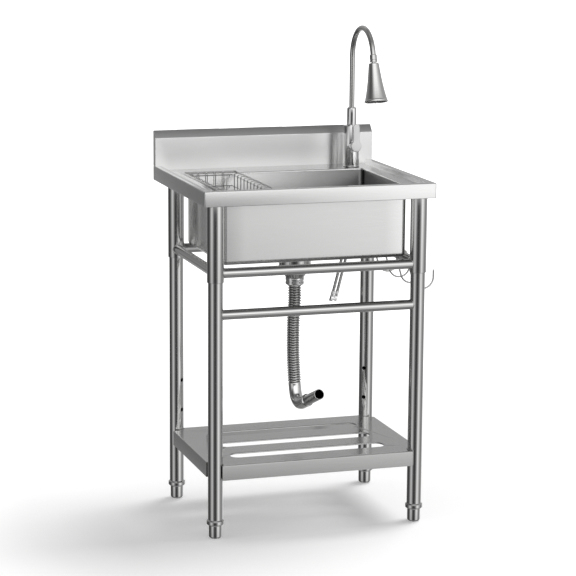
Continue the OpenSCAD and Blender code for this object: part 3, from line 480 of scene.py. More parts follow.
def dimmed(tree, colour, left):
    """A colour times the share that is left of it."""
    made = node(tree, "VectorMath", operation="SCALE")
    feed(tree, made.inputs[0], colour)
    feed(tree, made.inputs["Scale"], left)
    return made.outputs[0]


def groove_shade(tree):
    """The share of light on a corrugated hose: least in the grooves and 1 on the ribs."""
    least = 0.12
    rib = node(tree, "Attribute", attribute_name="rib").outputs["Fac"]
    return math_node(tree, "ADD", math_node(tree, "MULTIPLY", rib, 1 - least), least)


def embossed(tree, height, strength):
    """The normal of a surface whose height goes up by a fifth of a millimetre."""
    relief = node(tree, "Bump")
    relief.inputs["Strength"].default_value = strength
    relief.inputs["Distance"].default_value = 0.0002
    feed(tree, relief.inputs["Height"], height)
    return relief.outputs[0]


def metal(name, colour, rough, grain="rod", stretch=(1, 1, 1), lines=600.0, contrast=0.06, smudge=0.05,
          bump=0.02, anisotropic=0.0, painted_shade=None, ribbed=False):
    """A metal whose colour, roughness and surface follow its polishing lines and smudges. Its colour can also
    carry painted shade: in a hose's grooves, on faces that look up, or inside the bowl.
    """
    material, tree, shader = new_material(name)
    where = node(tree, "TexCoord").outputs
    place, facing = where["Object"], where["Normal"]
    if grain == "sheet":
        marks = use_group(tree, SHEET_GRAIN, Place=place, Facing=facing, Lines=lines)
    else:
        marks = use_group(tree, POLISH_MARKS, Place=place, Stretch=stretch, Lines=lines)
    tone = toned(tree, marks["Shade"], colour, contrast, 0.25, 0.75)
    # Painted shade goes into the colour: in the hose's grooves, or on faces that look up and inside the bowl
    if ribbed:
        tone = dimmed(tree, tone, groove_shade(tree))
    elif painted_shade:
        tone = dimmed(tree, tone, use_group(tree, PAINTED_SHADE, Place=place, Facing=facing, **painted_shade)["Left"])
    feed(tree, shader["Base Color"], tone)
    lined = math_node(tree, "MULTIPLY", math_node(tree, "SUBTRACT", marks["Shade"], 0.5), contrast)
    soiled = math_node(tree, "MULTIPLY", use_group(tree, HANDLING, Place=place)["Smudge"], smudge)
    feed(tree, shader["Roughness"], math_node(tree, "ADD", math_node(tree, "ADD", lined, soiled), rough))
    shader["Metallic"].default_value = 1
    if anisotropic:
        shader["Anisotropic"].default_value = anisotropic
        shader["Anisotropic Rotation"].default_value = 0.25
        # The level direction in the face; a touch of X keeps it off zero where the face itself is level
        level_way = vector_node(tree, "CROSS_PRODUCT", facing, (0, 0, 1))
        feed(tree, shader["Tangent"], vector_node(tree, "ADD", level_way, (0.02, 0, 0)))
    if bump:
        feed(tree, shader["Normal"], embossed(tree, marks["Height"], bump))
    return material


def brushed(name, colour, rough, contrast=0.03, smudge=0.04, anisotropic=0.95, **painted_shade):
    """Sheet steel brushed one way, which draws its reflections out across the lines. Any further settings
    paint shade into its colour.
    """
    return metal(name, colour, rough, "sheet", lines=900.0, contrast=contrast, smudge=smudge,
                 anisotropic=anisotropic, painted_shade=painted_shade)


def polished(name, colour, stretch, **painted_shade):
    """Tube steel polished along its length. Any further settings paint shade into its colour."""
    return metal(name, colour, 0.09, stretch=stretch, lines=500.0, contrast=0.04, smudge=0.04,
                 painted_shade=painted_shade)


def moulded(name, colour, rough):
    """Plastic or rubber with a fine moulded surface."""
    speckle, scale, relief, smudge = 0.08, 500.0, 0.15, 0.2
    material, tree, shader = new_material(name)
    place = node(tree, "TexCoord").outputs["Object"]
    fine = noise(tree, place, scale, 3)
    hands = use_group(tree, HANDLING, Place=place, Size=25.0)["Smudge"]
    feed(tree, shader["Base Color"], toned(tree, fine, colour, speckle))
    soiled = math_node(tree, "MULTIPLY", hands, smudge)
    feed(tree, shader["Roughness"], math_node(tree, "ADD", soiled, rough))
    feed(tree, shader["Normal"], embossed(tree, fine, relief))
    return material


# Painted shade in these colours: the sheet, splash, bowl and rail finishes darken on faces that look up, the
# bowl's inside darkens towards the tap, and the hose darkens in its grooves. The splash's lighter colour is
# painted light, standing in for light thrown up from the deck.
SHEET_STEEL = brushed("brushed_sheet", (0.93, 0.93, 0.925), 0.2, From=0.5, Lying=0.2)
SPLASH_STEEL = brushed("brushed_splash", (0.985, 0.985, 0.98), 0.3, From=0.5, Lying=0.5)
BOWL_STEEL = brushed("brushed_bowl", (0.93, 0.93, 0.925), 0.2, smudge=0.05, From=0.5, Lying=0.4, Inside=0.8)
SHELF_STEEL = brushed("brushed_shelf", (0.61, 0.61, 0.605), 0.22, contrast=0.04, smudge=0.06,
                      anisotropic=0.9)
TUBE_STEEL = polished("polished_tube", (0.73, 0.73, 0.725), (1, 1, 0.03))
RAIL_STEEL = polished("polished_rail", (0.78, 0.78, 0.775), (0.03, 1, 1), From=0.28, Lying=0.6)
SIDE_RAIL_STEEL = polished("polished_side_rail", (0.78, 0.78, 0.775), (1, 0.03, 1), From=0.28, Lying=0.5)
BRIGHT_STEEL = metal("bright_steel", (0.68, 0.68, 0.675), 0.09, stretch=(0.2, 0.2, 1), lines=700.0,
                     contrast=0.04)
HOSE_STEEL = metal("hose_plating", (0.9, 0.9, 0.895), 0.07, stretch=(0.2, 0.2, 1), lines=700.0,
                   contrast=0.03, ribbed=True)
WELD_STEEL = metal("weld_steel", (0.60, 0.60, 0.59), 0.26, lines=400.0, contrast=0.12)
BRAID = metal("hose_braid", (0.46, 0.46, 0.455), 0.25, lines=900.0, contrast=0.12)
SCREW_STEEL = metal("dark_screw_steel", (0.33, 0.33, 0.34), 0.3, lines=300.0, contrast=0.1)
WIRE = metal("wire_steel", (0.6, 0.6, 0.595), 0.12, lines=120.0, contrast=0.03, bump=0.0)
CHROME = metal("chrome_plate", (0.95, 0.95, 0.95), 0.03, lines=80.0, contrast=0.01, smudge=0.03, bump=0.0)
LEVER_CHROME = metal("lever_chrome", (0.97, 0.97, 0.97), 0.5, stretch=(1, 1, 0.1), lines=500.0,
                     contrast=0.02, smudge=0.03, bump=0.0)
SATIN = metal("satin_nickel", (0.70, 0.695, 0.69), 0.18, stretch=(0.05, 0.05, 1), lines=900.0,
              contrast=0.07)
SPRAY_STEEL = metal("spray_nickel", (0.88, 0.875, 0.87), 0.14, stretch=(0.2, 0.2, 1), lines=600.0,
                    contrast=0.04)
BRASS = metal("brass", (0.72, 0.52, 0.22), 0.25, lines=300.0, contrast=0.08)
RUBBER = moulded("black_rubber", (0.018, 0.018, 0.019), 0.6)
DARK_PLASTIC = moulded("dark_plastic", (0.03, 0.03, 0.032), 0.4)
PALE_PLASTIC = moulded("pale_plastic", (0.78, 0.77, 0.74), 0.4)

# The CAD pieces that show as they are; all others are replaced below
CAD_FINISHES = {
    "shelf_bolts": BRIGHT_STEEL, "socket_grub_screws": SCREW_STEEL, "drain_gasket": RUBBER,
    "drain_lock_nut": DARK_PLASTIC, "drain_strainer": BRIGHT_STEEL, "tap_seal": RUBBER,
    "tap_washer": SCREW_STEEL, "tap_mounting_nut": BRASS, "tap_cartridge": PALE_PLASTIC, "spray_ball": CHROME,
    **{f"leg_{corner}": TUBE_STEEL for corner in CORNERS},
}
for node_name, node_finish in CAD_FINISHES.items():
    for node_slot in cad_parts[node_name].material_slots:
        node_slot.material = node_finish


# Hoses

def mark_ribs(mesh, path, groove_r, rib_r):
    """Writes the attribute rib: how far a point stands out from the path, 0 at the groove's radius and
    1 from the rib's radius on."""
    spots = np.empty(len(mesh.vertices) * 3, np.float32)
    mesh.vertices.foreach_get("co", spots)
    spots, line = spots.reshape(-1, 3) / MM, path.astype(np.float32)
    squared = (spots**2).sum(1)[:, None] + (line**2).sum(1)[None] - 2 * spots @ line.T
    out = np.sqrt(np.maximum(squared.min(1), 0))
    share = np.clip((out - groove_r) / (rib_r - groove_r), 0, 1).astype(np.float32)
    mesh.attributes.new("rib", "FLOAT", "POINT").data.foreach_set("value", share)


def make_drain_hose():
    """Corrugated hose: the radius at the length s is root + rise (1/2 - cos(turn s / pitch) / 2) ^ 0.8
    over its ribs, plain after them, with a bore inside. A sleeve goes on from its end."""
    pitch, ribs, root, rise, bore, plain = 6.54, 39, 13.9, 3.5, 12.25, 16.0
    line = curve_through(HOSE_ROUTE, 20)
    total, ribbed = along(line)[-1], pitch * ribs
    s_ribs = np.linspace(0, ribbed, ribs * 12 + 1)
    r_ribs = root + rise * (0.5 - 0.5 * np.cos(TURN * s_ribs / pitch)) ** 0.8
    neck = np.array([(1.0, 14.6), (1.8, 15.5), (2.6, 15.9)])
    s_plain, s_bore = np.linspace(ribbed + 4, total - 0.6, 24), np.linspace(total, 0, 60)
    s = np.concatenate([s_ribs, ribbed + neck[:, 0], s_plain, [total], s_bore])
    r = np.concatenate([r_ribs, neck[:, 1], np.full(24, plain), [plain - 0.6], np.full(60, bore)])
    known = np.linspace(0, total, 181)
    path = at_lengths(line, known)
    centre, u, v = (read_at(s, known, rows) for rows in (path, *square_to(path, (1, 0, 0))))
    grid = centre[:, None] + r[:, None, None] * rings(unit(u), unit(v), 48)
    hose = piece("drain_hose_ribbed", skin(grid, around=True, looped=True), "frame", HOSE_STEEL,
                 ["drain_hose"])
    # The rib attribute sets the painted shade in the hose's grooves
    mark_ribs(hose.data, at_lengths(line, np.linspace(0, total, 600)), root, root + 2)
    end = np.array(HOSE_ROUTE[-1], float)
    sleeve = rounded([
        (12.2, 0.1, 0.3), (16.5, 0.1, 1.4), (16.5, 6.1, 1.2), (13.5, 7.6, 1), (13.5, 85.1, 0.5),
        (12.2, 85.1, 0.3),
    ])
    cuff = piece("drain_cuff_sleeve", turned(sleeve, end, end - np.array(HOSE_ROUTE[-2], float)), "frame",
                 BRIGHT_STEEL, ["drain_cuff"])


def make_supply_hose(name, side, replaces):
    """Braided hose: the radius is 3.75 + 0.25 |sin(8 a + k s) sin(8 a - k s)|, two sets of strands that
    cross. A six-sided nut and a crimped sleeve are on its end."""
    core, braid, strands, k, sides = 3.75, 0.25, 8, 0.9, 32
    line = curve_through(np.array(SUPPLY_ROUTE, float) + [side * SUPPLY_OFFSET, 0, 0], 16)
    total = along(line)[-1]
    s = np.linspace(0, total, 420)
    path = at_lengths(line, s)
    a = np.arange(sides) * TURN / sides
    wound, risen = strands * a[None], k * s[:, None]
    crossing = np.abs(np.sin(wound + risen) * np.sin(wound - risen))
    out = (core + braid * crossing)[:, :, None] * rings(*square_to(path, (1, 0, 0)), sides)
    braided = skin(path[:, None] + out, around=True, caps=True)
    hose = piece(name, braided, "frame", BRAID, replaces, sharp=60)
    way = line[-1] - line[-2]
    nut = [(4.1, 0.1), (5.0, 0.1), (5.5, 0.9), (5.5, 12.3), (5.0, 13.1), (4.1, 13.1)]
    crimp = rounded([(4.05, -14, 0.2), (4.9, -14, 0.6), (4.9, -0.2, 0.6), (4.05, -0.2, 0.2)])
    coupling = together(turned(nut, line[-1], way, sides=6), turned(crimp, line[-1], way, sides=32))
    end = piece(name + "_coupling", coupling, "frame", CHROME, ["supply_nuts"])


make_drain_hose()
make_supply_hose("supply_hose_left", -1, ["supply_hoses"])
make_supply_hose("supply_hose_right", 1, ["supply_hoses"])


# Folded sheet

def round_rectangle(half_x, half_y, radius, middle=(0, 0), steps=8, between=0):
    """Outline and outward directions of a rectangle with round corners: corner centre + radius (cos a,
    sin a), with more points between the corners if asked."""
    outline, out = [], []
    for k, (sx, sy) in enumerate(((1, 1), (-1, 1), (-1, -1), (1, -1))):
        a = (k + np.linspace(0, 1, steps + 1)) * np.pi / 2
        away = np.column_stack([np.cos(a), np.sin(a)])
        centre = np.array([sx * (half_x - radius), sy * (half_y - radius)]) + np.asarray(middle, float)
        outline.append(centre + radius * away)
        out.append(away)
    if between:
        t = (np.arange(between) + 1)[:, None] / (between + 1)
        sides = [(outline[k][-1], outline[(k + 1) % 4][0]) for k in range(4)]
        for k, (first, last) in enumerate(sides):
            outline[k] = np.concatenate([outline[k], first + (last - first) * t])
            out[k] = np.concatenate([out[k], np.broadcast_to(out[k][-1], (between, 2))])
    return np.concatenate(outline), np.concatenate(out)


def slab(outer, holes, low, high):
    """A plate between two heights: the same flat face at both, and upright walls round its outline and
    holes."""
    loops = [np.asarray(loop, float) for loop in (outer, *holes)]
    flat = np.concatenate(loops)
    count, start, walls = len(flat), 0, []
    level_loops = [np.column_stack([loop, np.zeros(len(loop))]).tolist() for loop in loops]
    faces = [list(face) for face in tessellate_polygon(level_loops)]
    for loop in loops:
        i = np.arange(len(loop))
        j = (i + 1) % len(loop)
        walls += (start + np.stack([i, j, j + count, i + count], 1)).tolist()
        start += len(loop)
    points = np.concatenate([np.column_stack([flat, np.full(count, z)]) for z in (low, high)])
    return points, faces + [[k + count for k in face] for face in faces] + walls


def level_skin(xy, z):
    """A looped and closed skin whose rows of points, outline after outline, each lie at one height."""
    height = np.broadcast_to(z[:, None, None], xy.shape[:2] + (1,))
    return skin(np.concatenate([xy, height], 2), around=True, looped=True)


def lip(outline, out, wide, top, deep):
    """The turned-down edge of a hole: a quarter round of about the radius wide, from the flat at that
    distance outside the hole down to the hole's wall."""
    under = max(wide - SHEET, 0.2)
    above = [(wide, top, 0), (0, top, wide - 0.05), (0, top - deep, 0)]
    below = [(SHEET, top - deep, 0), (SHEET, top - SHEET, under - 0.05), (wide, top - SHEET, 0)]
    profile = np.concatenate([rounded(above, 5, closed=False), rounded(below, 4, closed=False)])
    return level_skin(outline[None] + profile[:, 0][:, None, None] * out[None], profile[:, 1])


def make_deck():
    """The folded rim is a profile of inset and height, carried round three sides on corners of radius 4
    less the inset. The flat inside it has a lip round the bowl and a hole for the tap, and the rear is
    folded down."""
    corner_r, least_r, tap_hole_r, rear_in, lip_wide, lip_deep = 4.0, 0.3, 16.0, 3.0, 3.0, 4.0
    fold = rounded([
        (FLAT_IN, FLAT_Z, 0), (SLOPE_FOOT_IN, FLAT_Z, 3), (SLOPE_TOP_IN, RIM_Z, 3), (0, RIM_Z, 2.2),
        (0, APRON_Z, 1.6), (HEM, APRON_Z, 0.5), (HEM, APRON_Z + SHEET, 0.5), (SHEET, APRON_Z + SHEET, 0.5),
        (SHEET, RIM_Z - SHEET, 1), (SLOPE_TOP_IN - 0.5, RIM_Z - SHEET, 2),
        (SLOPE_FOOT_IN - 0.5, FLAT_Z - SHEET, 2), (FLAT_IN, FLAT_Z - SHEET, 0),
    ])
    inset = fold[:, :1]
    r = np.maximum(corner_r - inset, least_r)
    a = np.linspace(0, np.pi / 2, 7)[None]
    x = -HALF_W + inset + r - r * np.cos(a)
    y = FRONT_Y + inset + r - r * np.sin(a)
    rear = np.full_like(inset, REAR_Y)
    xs = np.concatenate([-HALF_W + inset, x, -x[:, ::-1], HALF_W - inset], 1)
    ys = np.concatenate([rear, y, y[:, ::-1], rear], 1)
    rim = skin(np.stack([xs, ys, np.broadcast_to(fold[:, 1:], xs.shape)], 2), looped=True, caps=True)
    hole_half_w, hole_half_d, hole_corner_r = BOWL_HALF_W - SHEET, BOWL_HALF_D - SHEET, BOWL_CORNER_R - SHEET
    bowl_hole, out = round_rectangle(hole_half_w, hole_half_d, hole_corner_r, (0, BOWL_Y), 10)
    tap_hole = np.array([TAP_X, TAP_Y]) + tap_hole_r * circle(48)
    flat_x, flat_front, flat_rear = HALF_W - FLAT_IN, FRONT_Y + FLAT_IN, REAR_Y - rear_in
    edge = [(-flat_x, flat_front), (flat_x, flat_front), (flat_x, flat_rear), (-flat_x, flat_rear)]
    flat = slab(edge, [bowl_hole + lip_wide * out, tap_hole], FLAT_Z - SHEET, FLAT_Z)
    rear_fold = rounded([
        (flat_rear, FLAT_Z, 0), (REAR_Y, FLAT_Z, 2), (REAR_Y, APRON_Z, 1.6), (REAR_Y - HEM, APRON_Z, 0.5),
        (REAR_Y - HEM, APRON_Z + SHEET, 0.5), (REAR_Y - SHEET, APRON_Z + SHEET, 0.5),
        (REAR_Y - SHEET, FLAT_Z - SHEET, 1), (flat_rear, FLAT_Z - SHEET, 0),
    ], 4)
    rear_apron = drawn(rear_fold, -HALF_W + SHEET, 2 * (HALF_W - SHEET), 0)
    surface = together(rim, flat, lip(bowl_hole, out, lip_wide, FLAT_Z, lip_deep), rear_apron)
    piece("deck_folded", surface, "frame", SHEET_STEEL, ["deck"])


def make_bowl():
    """A closed profile of inset, height and share: each point is the rounded rectangle drawn in by the
    inset, then moved by the share towards the drain's circle. The floor falls by the fall over most of
    the way there."""
    fall, fall_share, steps = 3.5, 0.84, 9
    corner = BOWL_CORNER_R
    outline, out = round_rectangle(BOWL_HALF_W, BOWL_HALF_D, corner, (0, BOWL_Y), 8, 9)
    b = np.linspace(0, np.pi / 2, steps)
    t = np.linspace(0, 1, steps)[1:]
    drop = fall * np.clip(1 - t / fall_share, 0, 1)
    corner_z = BOWL_Z + corner + fall

    def side(grow, top):
        """The outer side's profile from the top down, or the inner one's, grown in by the sheet."""
        inset = np.concatenate([[grow], corner - (corner - grow) * np.cos(b), np.full(len(t), corner)])
        height = np.concatenate([[top], corner_z - (corner - grow) * np.sin(b), BOWL_Z + grow + drop])
        return np.column_stack([inset, height, np.concatenate([np.zeros(len(b) + 1), t])])

    profile = np.concatenate([side(0, FLAT_Z - SHEET), side(SHEET, FLAT_Z - 4)[::-1]])
    place = outline[None] - profile[:, 0][:, None, None] * out[None]
    middle = np.array([0, BOWL_Y])
    drain_hole = middle + DRAIN_HOLE_R * unit(outline - middle)
    place = place + profile[:, 2][:, None, None] * (drain_hole[None] - place)
    piece("bowl_drawn", level_skin(place, profile[:, 1]), "frame", BOWL_STEEL, ["bowl"])


def soften(obj, wide):
    """A small round on every sharp edge."""
    bevel = obj.modifiers.new("edge_round", "BEVEL")
    bevel.width, bevel.segments, bevel.limit_method = wide * MM, 3, "ANGLE"
    bevel.angle_limit = np.radians(32)


def make_backsplash():
    """The folded panel's outline in depth and height, drawn across the sink, and an end plate on each
    side."""
    inner, flange = SPLASH_Y + SHEET, 25
    outline = rounded([
        (SPLASH_Y, FLAT_Z, 0.2), (SPLASH_Y, SPLASH_TOP, 3.2), (REAR_Y, SPLASH_PEAK, 2.4),
        (REAR_Y, SPLASH_PEAK - flange, 0.5), (REAR_Y - SHEET, SPLASH_PEAK - flange, 0.5),
        (REAR_Y - SHEET, SPLASH_PEAK - 3.0, 1.2), (inner, SPLASH_TOP - 0.4, 2), (inner, FLAT_Z, 0.2),
    ], 6)
    panel = drawn(outline, -HALF_W + SHEET, 2 * (HALF_W - SHEET), 0)
    piece("backsplash_folded", panel, "frame", SPLASH_STEEL, ["backsplash"])
    end = rounded([
        (SPLASH_Y, RIM_Z, 0.3), (SPLASH_Y, SPLASH_TOP, 3.2), (REAR_Y, SPLASH_PEAK, 2.4),
        (REAR_Y, RIM_Z, 0.3),
    ], 6)
    for name, start in (("left", -HALF_W), ("right", HALF_W - SHEET)):
        plate = drawn(end, start, SHEET, 0)
        replaced = [f"backsplash_{name}_end"]
        soften(piece(f"backsplash_end_{name}", plate, "frame", SHEET_STEEL, replaced), 0.4)


def make_knife_holders():
    """Angle brackets: an L outline with a round fold, drawn across, and a plate with two slots."""
    spacing, half, top, thick, tall, fold = 175.0, 58.0, 966.0, 1.5, 19.0, 7.0
    plate_y, plate_half, slot_y, slot_half, slot_x = REAR_Y + 13.25, 6.75, REAR_Y + 10.75, 17.0, 35.0
    outline = rounded([
        (REAR_Y, top - tall, 0.3), (REAR_Y, top, 2.2), (REAR_Y + fold, top, 0),
        (REAR_Y + fold, top - thick, 0), (REAR_Y + thick, top - thick, 0.7),
        (REAR_Y + thick, top - tall, 0.3),
    ])
    for name, x in (("left", -spacing), ("middle", 0.0), ("right", spacing)):
        tab = drawn(outline, x - half, 2 * half, 0)
        slots = [round_rectangle(slot_half, 3, 2.9, (x + side * slot_x, slot_y), 5)[0] for side in (-1, 1)]
        flat = slab(round_rectangle(half, plate_half, 0.1, (x, plate_y), 1)[0], slots, top - thick, top)
        piece(f"knife_bracket_{name}", together(tab, flat), "frame", SHEET_STEEL,
              [f"knife_holder_{name}"])


def shelf_edge(inset):
    """The shelf's outline at an inset. At each corner it turns in at the notch, cuts across beside the
    leg on a line that keeps clear of its axis, and comes out to the side. The front corners have a
    small tab."""
    e = np.asarray(inset, float)
    half_w, notch_x, side_y, front_y, clear = 280.0, 245.0, 161.0, 208.3, 20.0
    tab_x, tab_low, tab_foot, tab_share = notch_x + 6.2, 4.3, 10.3, 0.4
    cut_way = -np.sin(np.radians(36)), -np.cos(np.radians(36))
    cut_y = LEG_Y + (clear + e - (notch_x - e - LEG_X) * cut_way[0]) / cut_way[1]
    cut_x = LEG_X + (clear + e - (side_y - e - LEG_Y) * cut_way[1]) / cut_way[0]

    def corner(sx, sy, end, tabbed=False):
        """The points of one corner, from the end of the shelf round to its side."""
        line = [(notch_x - e, end - e)]
        if tabbed:
            line = [(tab_x - e, end - e), (tab_x - e, end - tab_low - tab_share * e),
                    (notch_x - e, end - tab_foot - tab_share * e)]
        line += [(notch_x - e, cut_y), (cut_x, side_y - e), (half_w - e, side_y - e)]
        return np.stack([np.stack([sx * x, sy * y], 1) for x, y in line], 1)

    rear_right, rear_left = corner(1, 1, LEG_Y), corner(-1, 1, LEG_Y)[:, ::-1]
    front_right, front_left = corner(1, -1, front_y, True)[:, ::-1], corner(-1, -1, front_y, True)
    return np.concatenate([rear_right, front_right, front_left, rear_left], 1)


def make_shelf():
    """A folded tray turned upside down: a profile of inset and height carried round the outline, and a
    flat with three lipped slots."""
    top, low, flat_in, lip_wide, lip_deep = 188.7, 150.7, 4.0, 2.5, 3.5
    slot_half_w, slot_half_d, first_slot_y, slot_step = 205, 21, -117.6, 107
    fold = rounded([
        (flat_in, top, 0), (0, top, 2), (0, low, 0.5), (SHEET, low, 0.5), (SHEET, top - SHEET, 1),
        (flat_in, top - SHEET, 0),
    ])
    rim = level_skin(shelf_edge(fold[:, 0]), fold[:, 1])
    slots = []
    for i in range(3):
        middle = (0, first_slot_y + slot_step * i)
        slots.append(round_rectangle(slot_half_w, slot_half_d, slot_half_d - 0.1, middle, 16))
    flat = slab(shelf_edge([flat_in])[0], [line + lip_wide * out for line, out in slots], top - SHEET, top)
    lips = [lip(line, out, lip_wide, top, lip_deep) for line, out in slots]
    piece("shelf_folded", together(rim, flat, *lips), "frame", SHELF_STEEL, ["shelf"])


# Tube frame

def leg_axis(corner, z):
    """The point of a leg's axis at a height."""
    sx, sy = CORNERS[corner]
    return np.array([sx * LEG_X, sy * LEG_Y, z])


def make_corner(name):
    """Socket, collar and foot of one leg, each a profile turned round the leg's axis."""
    axis, cap_half_y, cap_thick = leg_axis(name, 0.0), 25, 2.8
    bore, bead_r, bead_deep = 18.75, 24, 3.5
    wall = rounded([(bore, SOCKET_LOW, 0.5), (SOCKET_R, SOCKET_LOW, 1), (SOCKET_R, SOCKET_TOP, 0.2),
                    (bore, SOCKET_TOP, 0.2)])
    cap = drawn(round_rectangle(SOCKET_R, cap_half_y, 4, axis[:2], 6)[0], SOCKET_TOP, cap_thick, 2)
    bead = rounded([(20.6, SOCKET_TOP, 0.1), (20.6, SOCKET_TOP - bead_deep, 0.6), (bead_r, SOCKET_TOP, 0.2)])
    socket = together(turned(wall, axis, sides=96), cap, turned(bead, axis, sides=72))
    piece(f"socket_pipe_{name}", socket, "frame", TUBE_STEEL, [f"socket_{name}"])
    ring = rounded([
        (5.05, 34, 0.3), (19, 34, 0.8), (22, 37, 1.2), (22, 45, 1.2), (19, 48, 0.8), (16.95, 48, 0),
        (16.95, 92, 0.3), (5.05, 92, 0.3),
    ], 4)
    piece(f"collar_ring_{name}", turned(ring, axis, sides=96), "frame", TUBE_STEEL,
          [f"collar_{name}"])
    base = rounded([
        (0, 0, 0), (12, 0, 0.2), (12, 1.2, 0), (16.5, 1.2, 4.4), (16.5, 33.7, 0.9), (5, 33.7, 0.2),
        (5, 90.8, 0.6), (0, 90.8, 0),
    ], 6, closed=False)
    piece(f"foot_pad_{name}", turned(base, axis, sides=96), f"foot_{name}", TUBE_STEEL,
          [f"foot_{name}"])


def make_rails():
    """Straight round tubes between the axes of the sockets or legs, each end a little short of the
    axis."""
    short_share = 0.02
    for name, start, end, z, finish in (
        ("front_upper", "front_left", "front_right", RAIL_Z, RAIL_STEEL),
        ("rear_upper", "rear_left", "rear_right", RAIL_Z, RAIL_STEEL),
        ("left_upper", "front_left", "rear_left", RAIL_Z, SIDE_RAIL_STEEL),
        ("right_upper", "front_right", "rear_right", RAIL_Z, SIDE_RAIL_STEEL),
        ("front_lower", "front_left", "front_right", LOW_RAIL_Z, RAIL_STEEL),
    ):
        a, b = leg_axis(start, z), leg_axis(end, z)
        line = a + (b - a) * np.linspace(short_share, 1 - short_share, 9)[:, None]
        piece(f"rail_pipe_{name}", tube(line, RAIL_R, (0, 0, 1), 96), "frame", finish,
              [f"rail_{name}"])


def weld_bead(post, away, post_r):
    """The weld where a rail meets a post: at the angle a round the rail it lies sqrt(post radius^2 -
    (rail radius cos a)^2) from the post's axis, in small scales."""
    bead_r, scale_r, scales = 1.15, 0.12, 24
    away = np.asarray(away, float)
    across, up = np.cross(away, (0, 0, 1)), np.array([0, 0, 1.0])
    a = np.arange(96) * TURN / 96
    far = np.sqrt(post_r**2 - (RAIL_R * np.cos(a)) ** 2)[:, None]
    path = post + far * away + RAIL_R * (np.cos(a)[:, None] * across + np.sin(a)[:, None] * up)
    return tube(path, bead_r + scale_r * np.sin(scales * a), away, 10, closed=True)


def make_welds():
    """A bead at both ends of every rail."""
    beads = []
    for corner, (sx, sy) in CORNERS.items():
        for way in ((-sx, 0, 0), (0, -sy, 0)):
            beads.append(weld_bead(leg_axis(corner, RAIL_Z), way, SOCKET_R))
    for corner, way in (("front_left", (1, 0, 0)), ("front_right", (-1, 0, 0))):
        beads.append(weld_bead(leg_axis(corner, LOW_RAIL_Z), way, LEG_R))
    piece("rail_welds", together(*beads), "frame", WELD_STEEL, sharp=80)


# Drain

def make_drain():
    """Cup, cone and tail as one turned profile, and the tail nut with a groove round it."""
    axis = (0, BOWL_Y, 0)
    cup = rounded([
        (39.5, 683, 0.5), (54.2, 683, 1), (56, 681.2, 0.4), (41, 681.2, 0.8), (41, 640, 2.5), (24, 616, 1.5),
        (24, 614, 0.4), (19.9, 614, 0.3), (19.9, 599.1, 0.3), (17.9, 599.1, 0.3), (17.9, 618, 1),
        (39.5, 641.5, 2),
    ])
    piece("drain_cup", turned(cup, axis, sides=128), "frame", BRIGHT_STEEL, ["drain_flange"])
    nut = rounded([
        (12.25, 596, 0.5), (22, 596, 0.8), (24, 598, 0.8), (24, 602.6, 0.4), (23.2, 603.4, 0.4),
        (23.2, 607.4, 0.4), (24, 608.2, 0.4), (24, 613.9, 0.8), (20, 613.9, 0.3), (20, 599, 0.3),
        (12.25, 599, 0.3),
    ], 4)
    piece("drain_tail_ring", turned(nut, axis, sides=128), "frame", CHROME, ["drain_tail_nut"])


# Tap

def make_tap_body():
    """Threaded shank and body turned upright, and a boss turned along -Y. The thread goes out and in by
    its depth at each step of height."""
    shank_r, shank_low, thread_low, thread_depth, thread_step = 14.7, 831, 832, 0.3, 0.75
    groove_z, groove_half, groove_r, base_r = 870.9, 0.5, 20.5, 14.0
    i = np.arange(41)
    thread = np.column_stack([shank_r + thread_depth * np.cos(i * np.pi), thread_low + i * thread_step])
    upright = rounded([
        (shank_r, 863, 0), (shank_r, TAP_Z, 0), (TAP_R, TAP_Z, 0.5), (TAP_R, groove_z - groove_half, 0.2),
        (groove_r, groove_z, 0.2), (TAP_R, groove_z + groove_half, 0.2), (TAP_R, TAP_TOP, 1.6),
        (0, TAP_TOP, 0),
    ], 5, closed=False)
    body = np.concatenate([[(0, shank_low), (base_r, shank_low)], thread, upright])
    boss = turned(disc(13.5, 0, 26, 0, 0.8), (TAP_X, TAP_Y, HUB_Z), (0, -1, 0), sides=96)
    surface = together(turned(body, (TAP_X, TAP_Y, 0), sides=128), boss)
    piece("tap_body_turned", surface, "frame", CHROME, ["tap_body"])
    collar_top, collar_bore = 1024, 7.05
    collar = rounded([
        (collar_bore, TAP_TOP, 0.2), (12.5, TAP_TOP, 0.4), (12.5, collar_top, 3.6), (9, collar_top, 0),
        (collar_bore, collar_top, 0.3),
    ], 8)
    piece("tap_neck_sleeve", turned(collar, (TAP_X, TAP_Y, 0), sides=96), "frame", CHROME,
          ["tap_neck_collar"])


def spout_line():
    """Straight up, then round: centre + radius (cos a, sin a) in the plane across the deck, then
    straight for 6 mm. Gives the line, the end of the bend and its direction there."""
    steps, foot_steps, foot_z, straight = 97, 12, 970, 6
    a = np.linspace(0, ARC_TURN, steps)
    bend = np.tile([TAP_X, TAP_Y - ARC_R, ARC_Z], (steps, 1))
    bend[:, 1:] += ARC_R * np.column_stack([np.cos(a), np.sin(a)])
    foot = np.tile([TAP_X, TAP_Y, 0.0], (foot_steps, 1))
    foot[:, 2] = np.linspace(foot_z, ARC_Z - 4, foot_steps)
    way = np.array([0, -np.sin(ARC_TURN), np.cos(ARC_TURN)])
    end = bend[-1]
    return np.concatenate([foot, bend, [end + straight / 2 * way, end + straight * way]]), end, way


def make_spout():
    """The bent tube and the nut on its end."""
    line, end, way = spout_line()
    piece("spout_tube", tube(line, SPOUT_R, (1, 0, 0), 64), "spout", SATIN, ["tap_spout"])
    nut = rounded([
        (0, 0, 0), (7.6, 0, 0.5), (9.25, 1.2, 0.8), (9.25, 13, 0.2), (8.8, 13.5, 0.2), (8.8, 14.5, 0.2),
        (9.25, 15, 0.2), (9.25, 20, 0.8), (4.05, 20, 0), (0, 20, 0),
    ], 4, closed=False)
    piece("spout_nut_turned", turned(nut, end, way, sides=96), "spout", SATIN, ["tap_spout_nut"])


